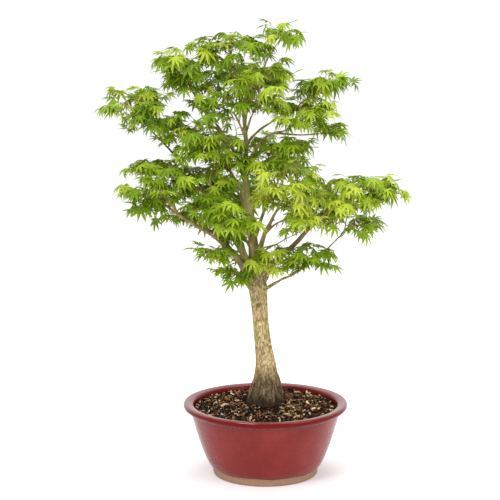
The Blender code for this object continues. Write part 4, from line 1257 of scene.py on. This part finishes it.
def makeBuds(paths, rng):
    bud = [makeCrumbShape(rng, (0.5, 0.5, 1.0), 1), makeCrumbShape(rng, (0.7, 0.45, 0.9), 1)]
    placements = []
    names = [name for name in limbs if limbs[name][6] > 6]
    for k in range(budLook["clusters"]):
        path = paths[names[k % len(names)]]
        spot, way = pointAlong(path, rng.uniform(0.45, 0.98))
        spot = spot + Vector((rng.uniform(-0.004, 0.004), rng.uniform(-0.004, 0.002),
                              rng.uniform(-0.005, 0.004)))
        for _ in range(rng.randint(*budLook["buds"])):
            away = Vector((rng.gauss(0, 1), rng.gauss(0, 1), rng.gauss(0, 1)))
            near = spot + away * budLook["spread"]
            spin = (Matrix.Rotation(rng.uniform(0, 6.28), 4, "Z")
                    @ Matrix.Rotation(rng.uniform(-1.2, 1.2), 4, "X"))
            matrix = Matrix.Translation(near) @ spin @ Matrix.Scale(rng.uniform(*budLook["sizes"]), 4)
            placements.append((rng.randrange(2), matrix, rng.uniform(0, 1)))
    return copiesOf("buds", bud, placements)


budMaterial = makeSoilMaterial("driedBuds", [(0.0, (0.07, 0.018, 0.010)), (0.5, (0.22, 0.055, 0.022)),
                                             (1.0, (0.42, 0.15, 0.055))], 0.7, 500)
finishPiece(makeBuds(paths, random.Random(5)), "driedBuds", budMaterial, (), 50)


# drain screens and their wires keep their CAD shapes

def giveMaterial(nodeName, material):
    piece = frame["nodes"][nodeName]
    piece.data.materials.clear()
    piece.data.materials.append(material)


meshMaterial = grainyMaterial("screenPlastic", 0.5, 300, 3, [
    (0.4, (0.012, 0.013, 0.014)), (0.7, (0.035, 0.036, 0.036))])
wireMaterial = grainyMaterial("softWire", 0.35, 500, 3, [
    (0.4, (0.42, 0.42, 0.43)), (0.7, (0.72, 0.72, 0.72))], Metallic=1.0)
for number in (1, 2, 3):
    giveMaterial(f"drain_screen_{number}", meshMaterial)
    giveMaterial(f"screen_wire_{number}", wireMaterial)


# stage, lights and camera

def makeStage():
    clearSelection()
    bpy.ops.mesh.primitive_circle_add(vertices=96, radius=30, fill_type="NGON", location=(0, 0, 0))
    floor = bpy.context.object
    floor.name = "floor"
    material, tree, shader = newMaterial("palePaper", 0.9)
    shader.inputs["Base Color"].default_value = (0.93, 0.93, 0.93, 1)
    shader.inputs["Specular IOR Level"].default_value = 0.1
    floor.data.materials.append(material)


def addSoftLight(name, place, aim, size, power):
    light = bpy.data.lights.new(name, "AREA")
    light.size = size
    light.energy = power
    lamp = bpy.data.objects.new(name, light)
    lamp.location = place
    lamp.rotation_euler = (Vector(aim) - Vector(place)).to_track_quat("-Z", "Y").to_euler()
    bpy.context.scene.collection.objects.link(lamp)


# name, place, what it aims at, size and power
softLights = [
    ("keyLight", (-1.2, -2.0, 2.6), (0, 0, 0.4), 1.2, 46),
    ("fillLight", (2.0, -1.6, 1.6), (0, 0, 0.4), 1.6, 22),
    ("topLight", (0.2, 0.6, 2.8), (0, 0, 0.5), 1.6, 30),
]
makeStage()
for light in softLights:
    addSoftLight(*light)

world = bpy.context.scene.world or bpy.data.worlds.new("studio")
bpy.context.scene.world = world
world.use_nodes = True
world.node_tree.nodes["Background"].inputs["Color"].default_value = (1, 1, 1, 1)
world.node_tree.nodes["Background"].inputs["Strength"].default_value = 1.12
bpy.context.scene.view_settings.view_transform = "Standard"

cameraLook = {"place": (-0.0285, -2.8, 0.862), "pitch": 9.02, "lens": 112}
cameraData = bpy.data.cameras.new("camera")
cameraData.lens = cameraLook["lens"]
camera = bpy.data.objects.new("camera", cameraData)
camera.location = cameraLook["place"]
camera.rotation_euler = (math.radians(90 - cameraLook["pitch"]), 0, 0)
bpy.context.scene.collection.objects.link(camera)
bpy.context.scene.camera = camera
